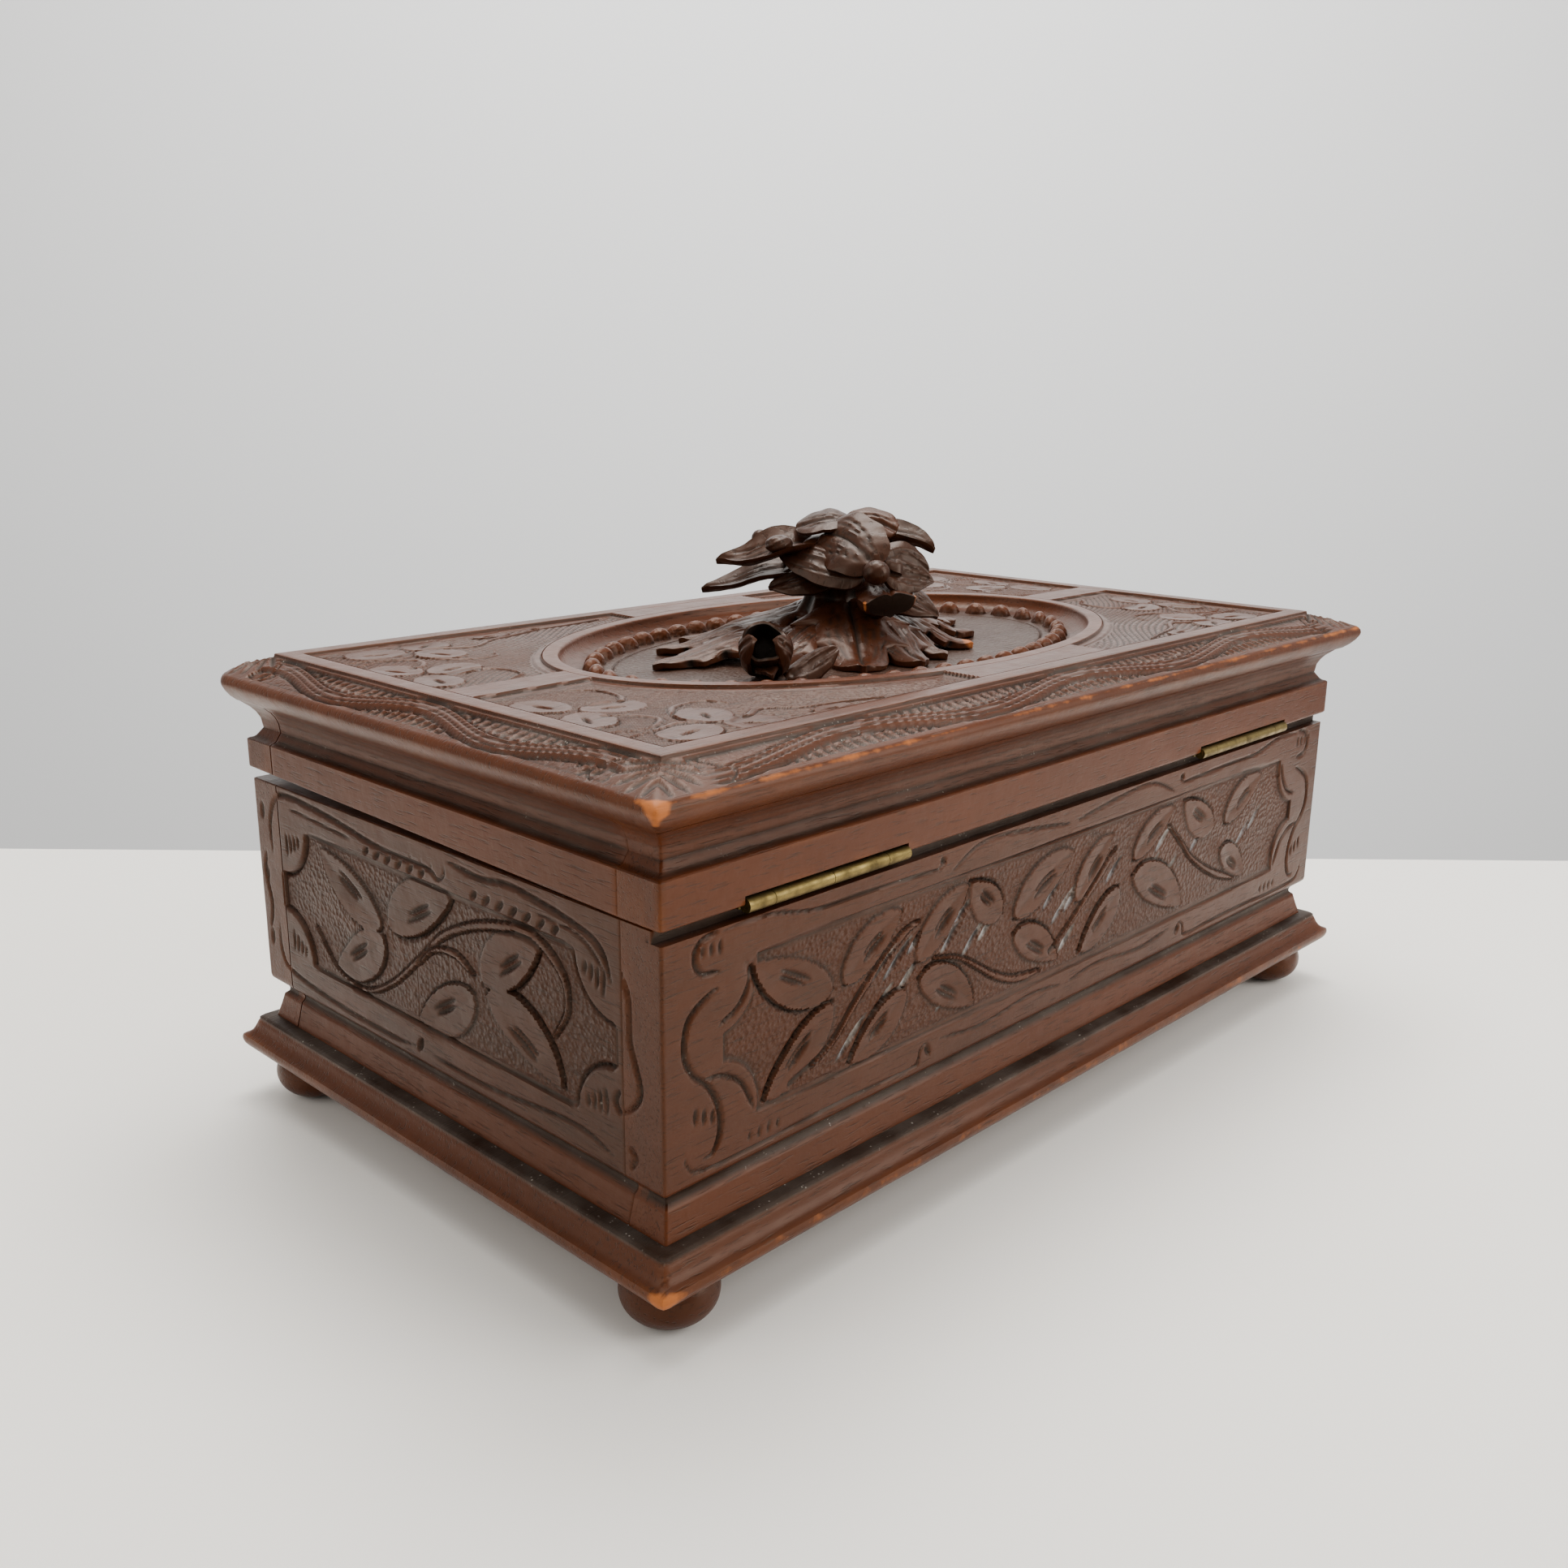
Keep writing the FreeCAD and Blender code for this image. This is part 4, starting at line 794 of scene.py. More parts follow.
def finish_board(slab, place, body, slot, material, node):
    """Makes the mesh of a board or rail and stores what its finish depends on."""
    piece = grid_piece(f"{slab.name}_wood", place, closed=True, capped=True)
    measure_relief(piece)
    carry_layers(piece, place, ground=slab.ground, shine=slab.shine)
    spots = corners_of(piece)
    height = spots[:, 2]
    if body == "carcass":
        warm = 1 - blend_in(height, PANEL_FOOT - 3.6, PANEL_FOOT - 1.6)
        warm = warm + 0.22 * blend_in(height, BODY_TOP - 9, BODY_TOP - 5)
    else:
        warm = 1 - 0.45 * blend_in(height, BAND_TOP - 0.5, BAND_TOP + 0.6)
    if node in ("front_board", "back_board", "lid_rail_front", "lid_rail_back"):
        end_grain = blend_in(np.abs(spots[:, 0]), HALF_LENGTH - 0.5, HALF_LENGTH - 0.1)
        warm = warm * (1 - 0.85 * end_grain)
    else:
        warm = warm * 0.85
    set_layer(piece, "warm", warm)
    inside = np.maximum(np.abs(spots[:, 0]) / HALF_LENGTH, np.abs(spots[:, 1]) / HALF_WIDTH)
    set_layer(piece, "raw", 0.25 * (inside < 0.5))
    settle(piece, body, slot, material, node)


def nearest_layer(spots, places, values):
    """Carries a value of the grid's corners over to the finished mesh, whose corners may have
    been joined. Each is found again by its place, rounded to a fiftieth of a millimetre, and
    the weights turn the three numbers of a place into one key."""
    weights = np.array([1, 1_000_003, 1_000_003 * 999_983 % (2**40)])

    def keys(somewhere):
        rounded = np.round(somewhere.reshape(-1, 3) * 50).astype(np.int64)
        return (rounded * weights).sum(1).tolist()

    table = dict(zip(keys(places), values.ravel().tolist()))
    return np.array([table.get(key, 0.0) for key in keys(spots)])


def carry_layers(piece, places, **layers):
    """Stores values of the grid's corners in the layers of the finished mesh."""
    for name, values in layers.items():
        set_layer(piece, name, nearest_layer(corners_of(piece), places, values))


# ------------------------------------------------------------------ base and feet
def turned_piece(name, profile, segments=72):
    """A round piece about the upright axis from its profile of radius and height, in mm."""
    angles = np.linspace(0, 2 * math.pi, segments + 1)
    radius, height = np.array(profile, float).T
    places = np.stack((radius[:, None] * np.cos(angles), radius[:, None] * np.sin(angles),
                       np.repeat(height[:, None], segments + 1, 1)), axis=2)
    return grid_piece(name, places, closed=True, capped=True)


def ring_plan(columns_x, columns_y):
    """Marks on the sides of a rectangle, going round from the middle of the right side. Each
    is a pair from -1 to 1, so that a rectangle of any size is this times its half sizes."""
    down, along = np.linspace(-1, 1, columns_y), np.linspace(-1, 1, columns_x)
    half = columns_y // 2
    plan = [(1.0, t) for t in down[half:]]
    plan += [(-t, 1.0) for t in along[1:]]
    plan += [(-1.0, -t) for t in down[1:]]
    plan += [(t, -1.0) for t in along[1:]]
    plan += [(1.0, t) for t in down[1:half]]
    plan.append(plan[0])
    return np.array(plan)


def rounded_corner(plan, half_x, half_y, radius):
    """How far to draw in each mark so that the rectangle's corners are rounded, as x and y."""
    x, y = np.abs(plan[:, 0]) * half_x, np.abs(plan[:, 1]) * half_y
    dx, dy = x - (half_x - radius), y - (half_y - radius)
    over = (dx > 0) & (dy > 0)
    length = np.hypot(dx, dy)
    scale = np.where(over & (length > radius), radius / np.maximum(length, 1e-9), 1.0)
    new_x = np.where(over, half_x - radius + dx * scale, x)
    new_y = np.where(over, half_y - radius + dy * scale, y)
    return np.stack((np.sign(plan[:, 0]) * new_x, np.sign(plan[:, 1]) * new_y), axis=1)


def base_moulding(material):
    """The base board: a stepped and hollowed edge all the way round under the box."""
    bottom = BASE_LOW[2]
    edge = ((4.6, 0.0), (5.7, 0.3), (6.3, 1.1), (6.6, 1.9), (6.6, 2.6), (6.35, 3.3), (5.3, 3.8),
            (4.55, 4.5), (4.0, 5.4), (3.6, 6.4), (3.3, 7.2), (3.1, 7.5), (3.0, 8.2))
    profile = [(-90.0, bottom), (-30.0, bottom), *((out, bottom + rise) for out, rise in edge),
               (2.6, BASE_TOP - 0.2), (2.1, BASE_TOP - 0.05), (-1.0, BASE_TOP - 0.03),
               (-5.0, BASE_TOP - 0.03)]
    plan = ring_plan(180, 110)
    rows = []
    for out, height in profile:
        half_x, half_y = HALF_LENGTH + out, HALF_WIDTH + out
        if out > -1:
            spots = rounded_corner(plan, half_x, half_y, 1.2)
        else:
            spots = plan * (half_x, max(half_y, 1.0))
        ripple = 0.10 * wobble(spots[:, 0], spots[:, 1], 17.0, height) if out > 0 else 0
        rows.append(np.column_stack((spots, np.full(len(spots), height) + np.minimum(ripple, 0))))
    piece = grid_piece("base_wood", np.array(rows), closed=True, capped=True)
    measure_relief(piece, 2, 8)
    spots = corners_of(piece)
    set_layer(piece, "warm", 0.45)
    ledge = blend_in(spots[:, 2], BASE_TOP - 1.4, BASE_TOP - 0.7)
    set_layer(piece, "dusty", ledge)
    # The ledge is marked hollow, so it is darkened as the hollows are: grime and painted shade.
    set_layer(piece, "hollow", ledge)
    corner = np.linalg.norm(spots - (HALF_LENGTH + 6, HALF_WIDTH + 6, bottom + 2), axis=1)
    lip = blend_in(spots[:, 1], HALF_WIDTH + 5.9, HALF_WIDTH + 6.5) * 0.42
    lip = lip + blend_in(spots[:, 0], HALF_LENGTH + 5.8, HALF_LENGTH + 6.6) * 0.3
    set_layer(piece, "rubbed", 0.62 * np.exp(-(corner / 3.6) ** 2) + lip)
    settle(piece, "carcass", "base_wood", material, "base_board")


def foot(end, side, material):
    """A flattened ball foot turned on a lathe."""
    node = f"foot_{'back' if side > 0 else 'front'}_{'right' if end > 0 else 'left'}"
    low, high = span(node)
    top = BASE_LOW[2] - 0.02
    radius = (high[0] - low[0]) / 2
    middle = top * 0.54
    profile = [(0.02, 0.0), (3.2, 0.0), (4.3, 0.12)]
    for angle in np.linspace(math.radians(-62), math.radians(66), 26):
        profile.append((radius * math.cos(angle) ** 0.8, middle + middle * 1.02 * math.sin(angle)))
    ridge = profile[-1][0]
    profile += [(ridge * 0.97, top - 0.25), (ridge * 0.93, top), (0.02, top)]
    piece = turned_piece(f"{node}_wood", profile)
    piece.location = ((low[0] + high[0]) / 2 * MM, (low[1] + high[1]) / 2 * MM, 0)
    bpy.ops.object.transform_apply(location=True)
    measure_relief(piece, 1, 4)
    set_layer(piece, "warm", 0.15)
    settle(piece, "carcass", "base_wood", material, node)


# ------------------------------------------------------------------ top of the lid
def border_relief(across, up, half, period, width):
    """The carved border of the lid's edge: a waving ribbon, with slanting cuts in its hollows
    and a fan at each corner."""
    face = Relief(across, up)
    middle, sway = width / 2 + 0.1, 2.7

    def wave(x, shift=0.0):
        return middle + sway * math.cos(2 * math.pi * x / period) + shift

    steps = np.linspace(-half + 9, half - 9, int(half / 2.2))
    for shift, thick, depth in ((2.4, 1.5, 1.3), (0.8, 0.9, 0.8)):
        for side in (1, -1):
            face.line([(x, wave(x, side * shift)) for x in steps], thick, depth, 0.02)
    beyond = face.up - (middle + sway * np.cos(2 * math.pi * face.across / period))
    outside = (np.abs(beyond) > 2.5) & (face.up > 1.2) & (face.up < width - 0.5)
    outside &= np.abs(face.across) < half - 10
    face.level[outside] = -0.65
    face.ground[outside] = 0.35
    for index in range(-int(half // period) - 1, int(half // period) + 2):
        for part, sign in ((0.0, -1), (0.5, 1)):
            centre = (index + part) * period
            if abs(centre) > half - 16:
                continue
            reach = min(0.27 * period, half - 12 - abs(centre))
            for place in np.arange(-reach, reach, 3.1):
                x = centre + place
                tall = 3.9 * math.cos(place / reach * 1.35)
                foot = wave(x, 2.9 * sign)
                face.gouge((x, foot), (x + 1.9 * sign, foot + tall * sign), 2.1, 0.8)
    for side in (-1, 1):
        corner = (side * (half - 1.0), width + 2)
        for angle in np.radians((28, 46, 64, 82, 100)):
            direction = np.array([-side * math.cos(angle), -math.sin(angle)])
            face.gouge(corner + 3.6 * direction, corner + 13.5 * direction, 2.0, 0.8)
        path = [(half - 13, 0.6), (half - 17, 4), (half - 12, width - 0.6)]
        face.line([(side * x, y) for x, y in path], 1.2, 1.2)
    return face


def lid_moulding(material):
    """The moulded and carved edge of the lid's top, with the plain fillet inside it."""
    low = RAIL_TOP + 0.03
    inner = -(FILLET_IN + FILLET_WIDTH)
    bulge = ((3.3, 0.8), (4.8, 2.0), (5.9, 3.3), (6.6, 4.5), (NOSE, 5.2), (6.78, 5.7), (6.6, 6.3),
             (6.2, 6.9), (5.7, 7.3))
    nose = [(inner, low), (1.0, low), (1.7, low + 0.15),
            *((out, RAIL_TOP + rise) for out, rise in bulge)]
    sweep = curve([(5.4, RAIL_TOP + 7.42), (0.3, RAIL_TOP + 9.5), (-5.4, RAIL_TOP + 11.05)], 2.2)
    steps = np.hypot(*np.diff(sweep, axis=0).T)
    width = float(steps.sum())
    fillet = ((-5.55, 0.6), (-5.62, 0.12), (-5.85, 0), (-7.0, 0.01), (-9.4, 0.01),
              (inner + 0.35, 0), (inner + 0.03, 0.15), (inner, 0.8))
    profile = [*nose, *map(tuple, sweep), *((out, LID_TOP - drop) for out, drop in fillet),
               (inner, RAIL_TOP + 5), (inner, low)]
    plan = ring_plan(540, 330)
    rows, rubbed = [], []
    walked = np.concatenate(([0], np.cumsum(steps)))
    is_end = np.abs(plan[:, 0]) == 1.0
    in_front = plan[:, 1] < 0
    for out, height in profile:
        front = NOSE_FRONT / NOSE if out > 0 else 1.0
        half_x, half_y = HALF_LENGTH + out, HALF_WIDTH + out
        reach_y = np.where(in_front, HALF_WIDTH + out * front, half_y)
        spots_xy = rounded_corner(plan, half_x, half_y, 1.0 if out > 0 else 0.01)
        if out > 0:
            spots_xy[in_front] = rounded_corner(plan, half_x, half_y, 1.0 + out)[in_front]
        spots_xy[:, 1] *= reach_y / half_y
        rows.append(np.column_stack((spots_xy, np.full(len(plan), height))))
        corner = np.hypot(spots_xy[:, 0] - HALF_LENGTH - 6, spots_xy[:, 1] - HALF_WIDTH - 6)
        edge = math.exp(-((out - 6.1) / 0.8) ** 2) if height > RAIL_TOP + 5 else 0.0
        share = np.where(spots_xy[:, 1] > HALF_WIDTH - 2, 0.55, 0.15)
        far = 0.12 * wobble(spots_xy[:, 0], spots_xy[:, 1], 30.0, 2.0)
        rubbed.append(edge * (share + far) + 0.7 * np.exp(-(corner / 2.6) ** 2))
    places = np.array(rows)
    ground = np.zeros(places.shape[:2])
    band = slice(len(nose), len(nose) + len(sweep))
    for ends, half, period in ((True, HALF_WIDTH, 62.0), (False, HALF_LENGTH, 82.0)):
        mine = is_end if ends else ~is_end
        across = places[band][:, mine, 1 if ends else 0]
        up = np.repeat(walked[:, None], mine.sum(), 1)
        face = border_relief(across, up, half, period, width)
        places[band, mine, 2] += face.surface() * blend_in(walked, 0, 0.6)[:, None]
        ground[band, mine] = face.ground.reshape(face.shape)
    piece = grid_piece("lid_moulding", places, closed=True)
    measure_relief(piece)
    carry_layers(piece, places, ground=ground, rubbed=np.array(rubbed))
    spots = corners_of(piece)
    warm = np.where(spots[:, 2] > LID_TOP - 0.9, 0.55, 0.25)
    set_layer(piece, "warm", np.where(spots[:, 2] < RAIL_TOP + 7.3, 0.45, warm))
    set_layer(piece, "dusty", 0.25 * (spots[:, 2] > RAIL_TOP + 7.5))
    settle(piece, "lid", "lid_wood", material, "lid_top_board")


def corner_relief(across, up):
    """The carved panel of one quarter of the lid: two three-petalled flowers among swirling
    stems, sunk between plain bands."""
    face = Relief(across, up)
    face.leaf_depth *= 0.62
    face.ground_depth *= 0.55
    oval = (np.hypot(face.across / OVAL_X, face.up / OVAL_Y) - 1) * np.where(face.up > 40, 60, 78)
    edge = np.min([PANEL_X - face.across, PANEL_Y - face.up, face.across - SIDE_BAND,
                   face.up - END_BAND, oval], axis=0)
    face.sink(edge - 1.6, 0.6)
    for hub, tips, width in (
        ((100.5, 56.5), ((117.0, 60.0), (88.5, 65.0), (93.5, 43.0)), 12.5),
        ((114.5, 28.0), ((120.5, 43.0), (98.5, 32.0), (118.0, 12.5)), 11.5),
        ((79.0, 62.5), ((66.5, 63.0),), 5.0),
    ):
        for tip in tips:
            towards = np.array(tip) - hub
            face.leaf(np.array(hub) + 0.09 * towards, tip, width, 0.04, 0.35, 1, rounded=True)
    face.carve_leaves()
    for path in (
        [(103.5, 9.5), (97.5, 14), (97.2, 22), (102, 26.5), (110, 25)],
        [(121.5, 47.5), (113, 50), (106, 45), (108.5, 38.5), (113, 36)],
        [(121.8, 53), (114, 52.5), (106.5, 50.5), (102.5, 53)],
        [(56, 63), (66, 60), (76, 57.5), (84, 52.5), (90, 55), (96.5, 57.5)],
        [(84.5, 44), (88, 38), (96, 38.5), (101.5, 43.5)],
        [(33, 65), (45, 64.2), (57, 64.6)],
    ):
        face.stem(path, 1.5)
    heading = math.radians(62)
    lines = face.across * math.cos(heading) + face.up * math.sin(heading)
    bowed = lines + 1.6 * np.sin(face.across / 9.0) + 1.1 * np.cos(face.up / 7.0)
    combed = 0.17 * (1 + np.cos(2 * math.pi * bowed / 1.55)) * blend_in(face.ground, 0.3, 0.9)
    face.level = face.level - combed * ~face.leaf_mask
    face.ground *= 0.5
    surface = face.surface() * blend_in(edge, 0.4, 0.8).reshape(face.shape)
    return face, surface - 0.8 * blend_in(edge, 0.0, 0.35).reshape(face.shape), edge


def lid_quarter(end, side, material):
    """A quarter of the lid's top, between the fillet and the rim of the oval."""
    name = f"lid_panel_{'back' if side > 0 else 'front'}_{'right' if end > 0 else 'left'}"
    step = in_mm(carving().mesh_step) * 1.25
    up_side = np.linspace(0, PANEL_Y, int(PANEL_Y / step))
    along = np.linspace(PANEL_X, 0, int(PANEL_X / step))
    outer = np.vstack((np.column_stack((np.full(len(up_side), PANEL_X), up_side)),
                       np.column_stack((along[1:], np.full(len(along) - 1, PANEL_Y)))))
    angle = np.arctan2(outer[:, 1] / OVAL_Y, outer[:, 0] / OVAL_X)
    inner = np.column_stack((OVAL_X * np.cos(angle), OVAL_Y * np.sin(angle)))
    share = np.linspace(0, 1, 112)[None, :, None]
    top = inner[:, None] * (1 - share) + outer[:, None] * share
    face, level, edge = corner_relief(top[..., 0], top[..., 1])
    low = RAIL_TOP + 0.05
    rows = [np.dstack((top, LID_TOP - 0.02 + level))]
    for spot in (outer, inner):
        rows.append(np.dstack((spot[:, None], np.full((len(spot), 1), low))))
    rows.append(rows[0][:, :1])
    places = np.concatenate(rows, axis=1)
    ground = np.pad(face.ground.reshape(face.shape), ((0, 0), (0, 3)))
    flat = np.pad(1 - blend_in(edge, -0.1, 0.3).reshape(face.shape), ((0, 0), (0, 3)))
    places = places * (end, side, 1)
    piece = grid_piece(name, places, closed=True, capped=True)
    measure_relief(piece)
    carry_layers(piece, places, ground=ground)
    set_layer(piece, "warm", 0.12 + 0.55 * nearest_layer(corners_of(piece), places, flat))
    settle(piece, "lid", "lid_wood", material, "lid_top_board")


def oval_dish(material):
    """The oval hollow in the middle of the lid: a plain rim, a smooth wall, a ring of slanting
    beads and a punched floor."""
    floor = LID_TOP - OVAL_DEPTH
    profile = [(0.05, RAIL_TOP + 0.05), (0.05, LID_TOP - 0.3), (0.3, LID_TOP - 0.02),
               (1.2, LID_TOP), (2.8, LID_TOP), (OVAL_RIM - 0.3, LID_TOP),
               (OVAL_RIM, LID_TOP - 0.12), (OVAL_RIM + 0.2, LID_TOP - 0.4)]
    for angle in np.linspace(0.1, math.pi / 2, 14):
        profile.append((OVAL_RIM + 0.25 + 4.9 * (1 - math.cos(angle)),
                        LID_TOP - 0.4 - (OVAL_DEPTH - 0.5) * math.sin(angle)))
    bead_line, bead_pitch, bead_height, bead_half, bead_reach = 12.7, 8.4, 3.3, 3.1, 2.6
    marks = [*np.arange(9.6, 16.4, 0.36), 16.9, 17.4, 17.65, 17.9, 18.15, 18.4, 19.0]
    profile += [(d, floor) for d in marks]
    profile += [(d, floor) for d in np.arange(20, OVAL_Y - 1, 1.1)]
    profile.append((OVAL_Y - 0.02, floor))
    profile.append((OVAL_Y - 0.02, RAIL_TOP + 0.05))
    fine = np.linspace(0, 2 * math.pi, 4001)
    ring = np.column_stack(((OVAL_X - bead_line) * np.cos(fine),
                            (OVAL_Y - bead_line) * np.sin(fine)))
    walked = np.concatenate(([0], np.cumsum(np.hypot(*np.diff(ring, axis=0).T))))
    beads = int(round(walked[-1] / bead_pitch))
    spots = np.linspace(0, walked[-1], beads * 18 + 1)
    angles = np.interp(spots, walked, fine)
    rows, ground = [], []
    for inward, height in profile:
        x, y = (OVAL_X - inward) * np.cos(angles), (OVAL_Y - inward) * np.sin(angles)
        z = np.full(len(angles), float(height))
        if 9.5 < inward < 16.5:
            off = inward - bead_line
            turn = (spots * beads / walked[-1] + 0.04 * off) % 1.0 - 0.5
            round_off = (turn * bead_pitch / bead_half) ** 2 + (off / bead_reach) ** 2
            z += bead_height * np.sqrt(np.clip(1 - round_off, 0, 1))
        z -= 0.6 * max(0.0, 1 - abs(inward - 17.9) / 0.55)
        z -= 0.06 * (1 + wobble(x, y, 2.6)) * (height == floor)
        rows.append(np.column_stack((x, y, z)))
        ground.append(np.full(len(x), 1.0 if inward > 18.6 else 0.4 * (height == floor)))
    places = np.array(rows)
    piece = grid_piece("lid_oval", places, closed=True, capped=True)
    measure_relief(piece, 3, 12)
    carry_layers(piece, places, ground=np.array(ground))
    found = corners_of(piece)
    # The floor is marked hollow, so it is darkened as the hollows are: grime and painted shade.
    set_layer(piece, "hollow", 0.5 * (found[:, 2] < floor + 0.02))
    set_layer(piece, "warm", blend_in(found[:, 2], floor + 0.5, floor + 2.4))
    settle(piece, "lid", "lid_wood", material, "lid_top_board")


# ------------------------------------------------------------------ finial
FINIAL_LOW, FINIAL_HIGH = span("finial")
OVAL_FLOOR = LID_TOP - OVAL_DEPTH


def seen(side, depth, rise):
    """A place on the finial: how far along the diagonal of the lid that runs to the back left
    corner, how far across that towards the back right one, and how far above the lid's top."""
    return (-0.668 * side + 0.744 * depth, 0.744 * side + 0.668 * depth, LID_TOP + rise)


def keep_in(places, low, high, slack=0.0):
    """Holds places inside a box."""
    return np.clip(places, low - slack, high + slack)


def foliage_leaf(name, path, width, up, thick=2.3, cup=0.0, teeth=0, veins=3, shape=(0.5, 0.85),
                 curl=0.0, rolled=0.0, colour=0.0, bare=0.0, bite=0.3, snapped=False):
    """A thick carved leaf along a path of points. cup lifts its edges, or drops them if it is
    negative, as a share of its half width. teeth is how many points each edge has, veins how many
    lines are cut on each side of its rib, curl bends its tip up, in millimetres, and rolled turns
    it about its path, in degrees. bite is how deep the teeth are cut, as a share of the half width.
    A snapped leaf ends in a broad break whose face is painted dark as shade."""
    centre = curve(path, 3.0)
    walked = np.concatenate(([0], np.cumsum(np.linalg.norm(np.diff(centre, axis=0), axis=1))))
    length = walked[-1]
    share = np.linspace(0, 1, 72)
    centre = np.column_stack([np.interp(share * length, walked, line) for line in centre.T])
    along = np.gradient(centre, axis=0)
    along /= np.linalg.norm(along, axis=1)[:, None]
    side = np.cross(along, np.array(up, float) / np.linalg.norm(up))
    side /= np.maximum(np.linalg.norm(side, axis=1), 1e-6)[:, None]
    normal = np.cross(side, along)
    turn = math.radians(rolled)
    side, normal = (side * math.cos(turn) + normal * math.sin(turn),
                    normal * math.cos(turn) - side * math.sin(turn))
    swell, taper = shape
    peak = swell / (swell + taper)
    half = (share + 0.02) ** swell * (1.004 - share) ** taper
    half = half / (peak ** swell * (1 - peak) ** taper)
    half = np.clip(half, 0.05, 1) * width / 2
    if teeth:
        saw = (share * teeth) % 1.0
        notch = 1.12 - bite * np.where(saw < 0.8, 1 - saw / 0.8, (saw - 0.8) / 0.2)
        edge_half = half * notch
    else:
        edge_half = half * (1 + 0.03 * np.sin(share * 19))
    across = np.sin(np.linspace(-math.pi / 2, math.pi / 2, 37))
    body = np.abs(across)[None, :] ** 3
    reach = half[:, None] * (1 - body) + edge_half[:, None] * body
    lift = cup * half[:, None] * across[None, :] ** 2
    off = across[None, :] * half[:, None]
    lift = lift - 0.75 * np.exp(-(off / 0.85) ** 2) * np.clip(share * 8, 0, 1)[:, None]
    fade = (np.clip((share - 0.08) * 6, 0, 1) * np.clip((0.9 - share) * 5, 0, 1))[:, None]
    for vein in range(veins):
        spread = (vein + 1) / (veins + 1) * (0.30 + 0.70 * share) * half
        lift = lift - 0.36 * np.exp(-((np.abs(off) - spread[:, None]) / 0.42) ** 2) * fade
    lift = lift + curl * share[:, None] ** 3
    lift = lift + 0.12 * wobble(share[:, None] * length, off, 2.2, len(name))
    blunt = 0.1 if snapped else 0.42
    gauge = thick * (blunt + (1 - blunt) * np.sqrt(np.clip(1 - across**2, 0, 1)))[None, :]
    gauge = gauge * np.clip(1.15 - share * 0.55, 0, 1)[:, None]
    reach = across[None, :] * reach
    centre, side, normal = centre[:, None], side[:, None], normal[:, None]
    top = centre + side * reach[..., None] + normal * lift[..., None]
    under = centre + side * (reach * 0.97)[..., None] + normal * (lift - gauge)[..., None]
    places = np.concatenate((top, under[:, ::-1], top[:, :1]), axis=1)
    places = keep_in(places, FINIAL_LOW, FINIAL_HIGH, 0.8)
    places[..., 2] = np.clip(places[..., 2], OVAL_FLOOR + 0.05, FINIAL_HIGH[2] + 0.9)
    piece = grid_piece(name, places, closed=True, capped=True)
    measure_relief(piece, 2, 8)
    spots = corners_of(piece)
    tip = np.linalg.norm(spots - centre[-1, 0], axis=1)
    set_layer(piece, "rubbed", bare * np.exp(-(tip / 4.5) ** 2))
    if snapped:
        past = (spots - centre[-2, 0]) @ along[-1]
        # The face of the break is marked hollow, so it is painted dark: painted shade.
        set_layer(piece, "hollow", (past > 0) * 1.0)
        off_rib = np.abs((spots - centre[-1, 0]) @ side[-1, 0])
        at_ends = blend_in(off_rib, 0.78 * off_rib.max(), 0.9 * off_rib.max())
        bared = 0.95 * np.exp(-((past + 0.5) / 1.1) ** 2) * (past < 0.05)
        set_layer(piece, "rubbed", bared * at_ends)
    set_layer(piece, "warm", colour)
    return piece


def ball(name, centre, radius, squash=(1, 1, 1), lumps=0.0):
    """A rounded knob."""
    bpy.ops.object.select_all(action="DESELECT")
    bpy.ops.mesh.primitive_ico_sphere_add(subdivisions=5, radius=1)
    piece = bpy.context.object
    piece.name = piece.data.name = name
    spots = corners_of(piece) * MM
    bumps = 1 + lumps * wobble(spots[:, 0] + spots[:, 2], spots[:, 1] - spots[:, 2], 0.32, radius)
    spots = spots * bumps[:, None] * radius * np.array(squash) + np.array(centre)
    spots[:, 2] = np.clip(spots[:, 2], OVAL_FLOOR + 0.02, FINIAL_HIGH[2])
    move_corners(piece, spots)
    bpy.ops.object.shade_smooth()
    measure_relief(piece, 2, 8)
    return piece


def finial_stock(name):
    """The turned and hollowed middle that the leaves are carved from."""
    waist = ((14.5, -1), (13, 2.5), (11, 6), (9.3, 9), (9.0, 11), (10.5, 14), (13, 17), (14, 20),
             (12.6, 22.6), (9.5, 25.6), (5, 27), (0.02, 27.5))
    profile = [(0.02, OVAL_FLOOR + 0.03), (15, OVAL_FLOOR + 0.03),
               *((radius, LID_TOP + rise) for radius, rise in waist)]
    piece = turned_piece(name, curve(profile, 1.2))
    spots = corners_of(piece)
    ridges = 1 + 0.06 * np.sin(np.arctan2(spots[:, 1], spots[:, 0]) * 9 + spots[:, 2] * 0.15)
    spots[:, 0] *= ridges * 1.25
    spots[:, 1] *= ridges
    move_corners(piece, spots)
    measure_relief(piece, 2, 8)
    return piece


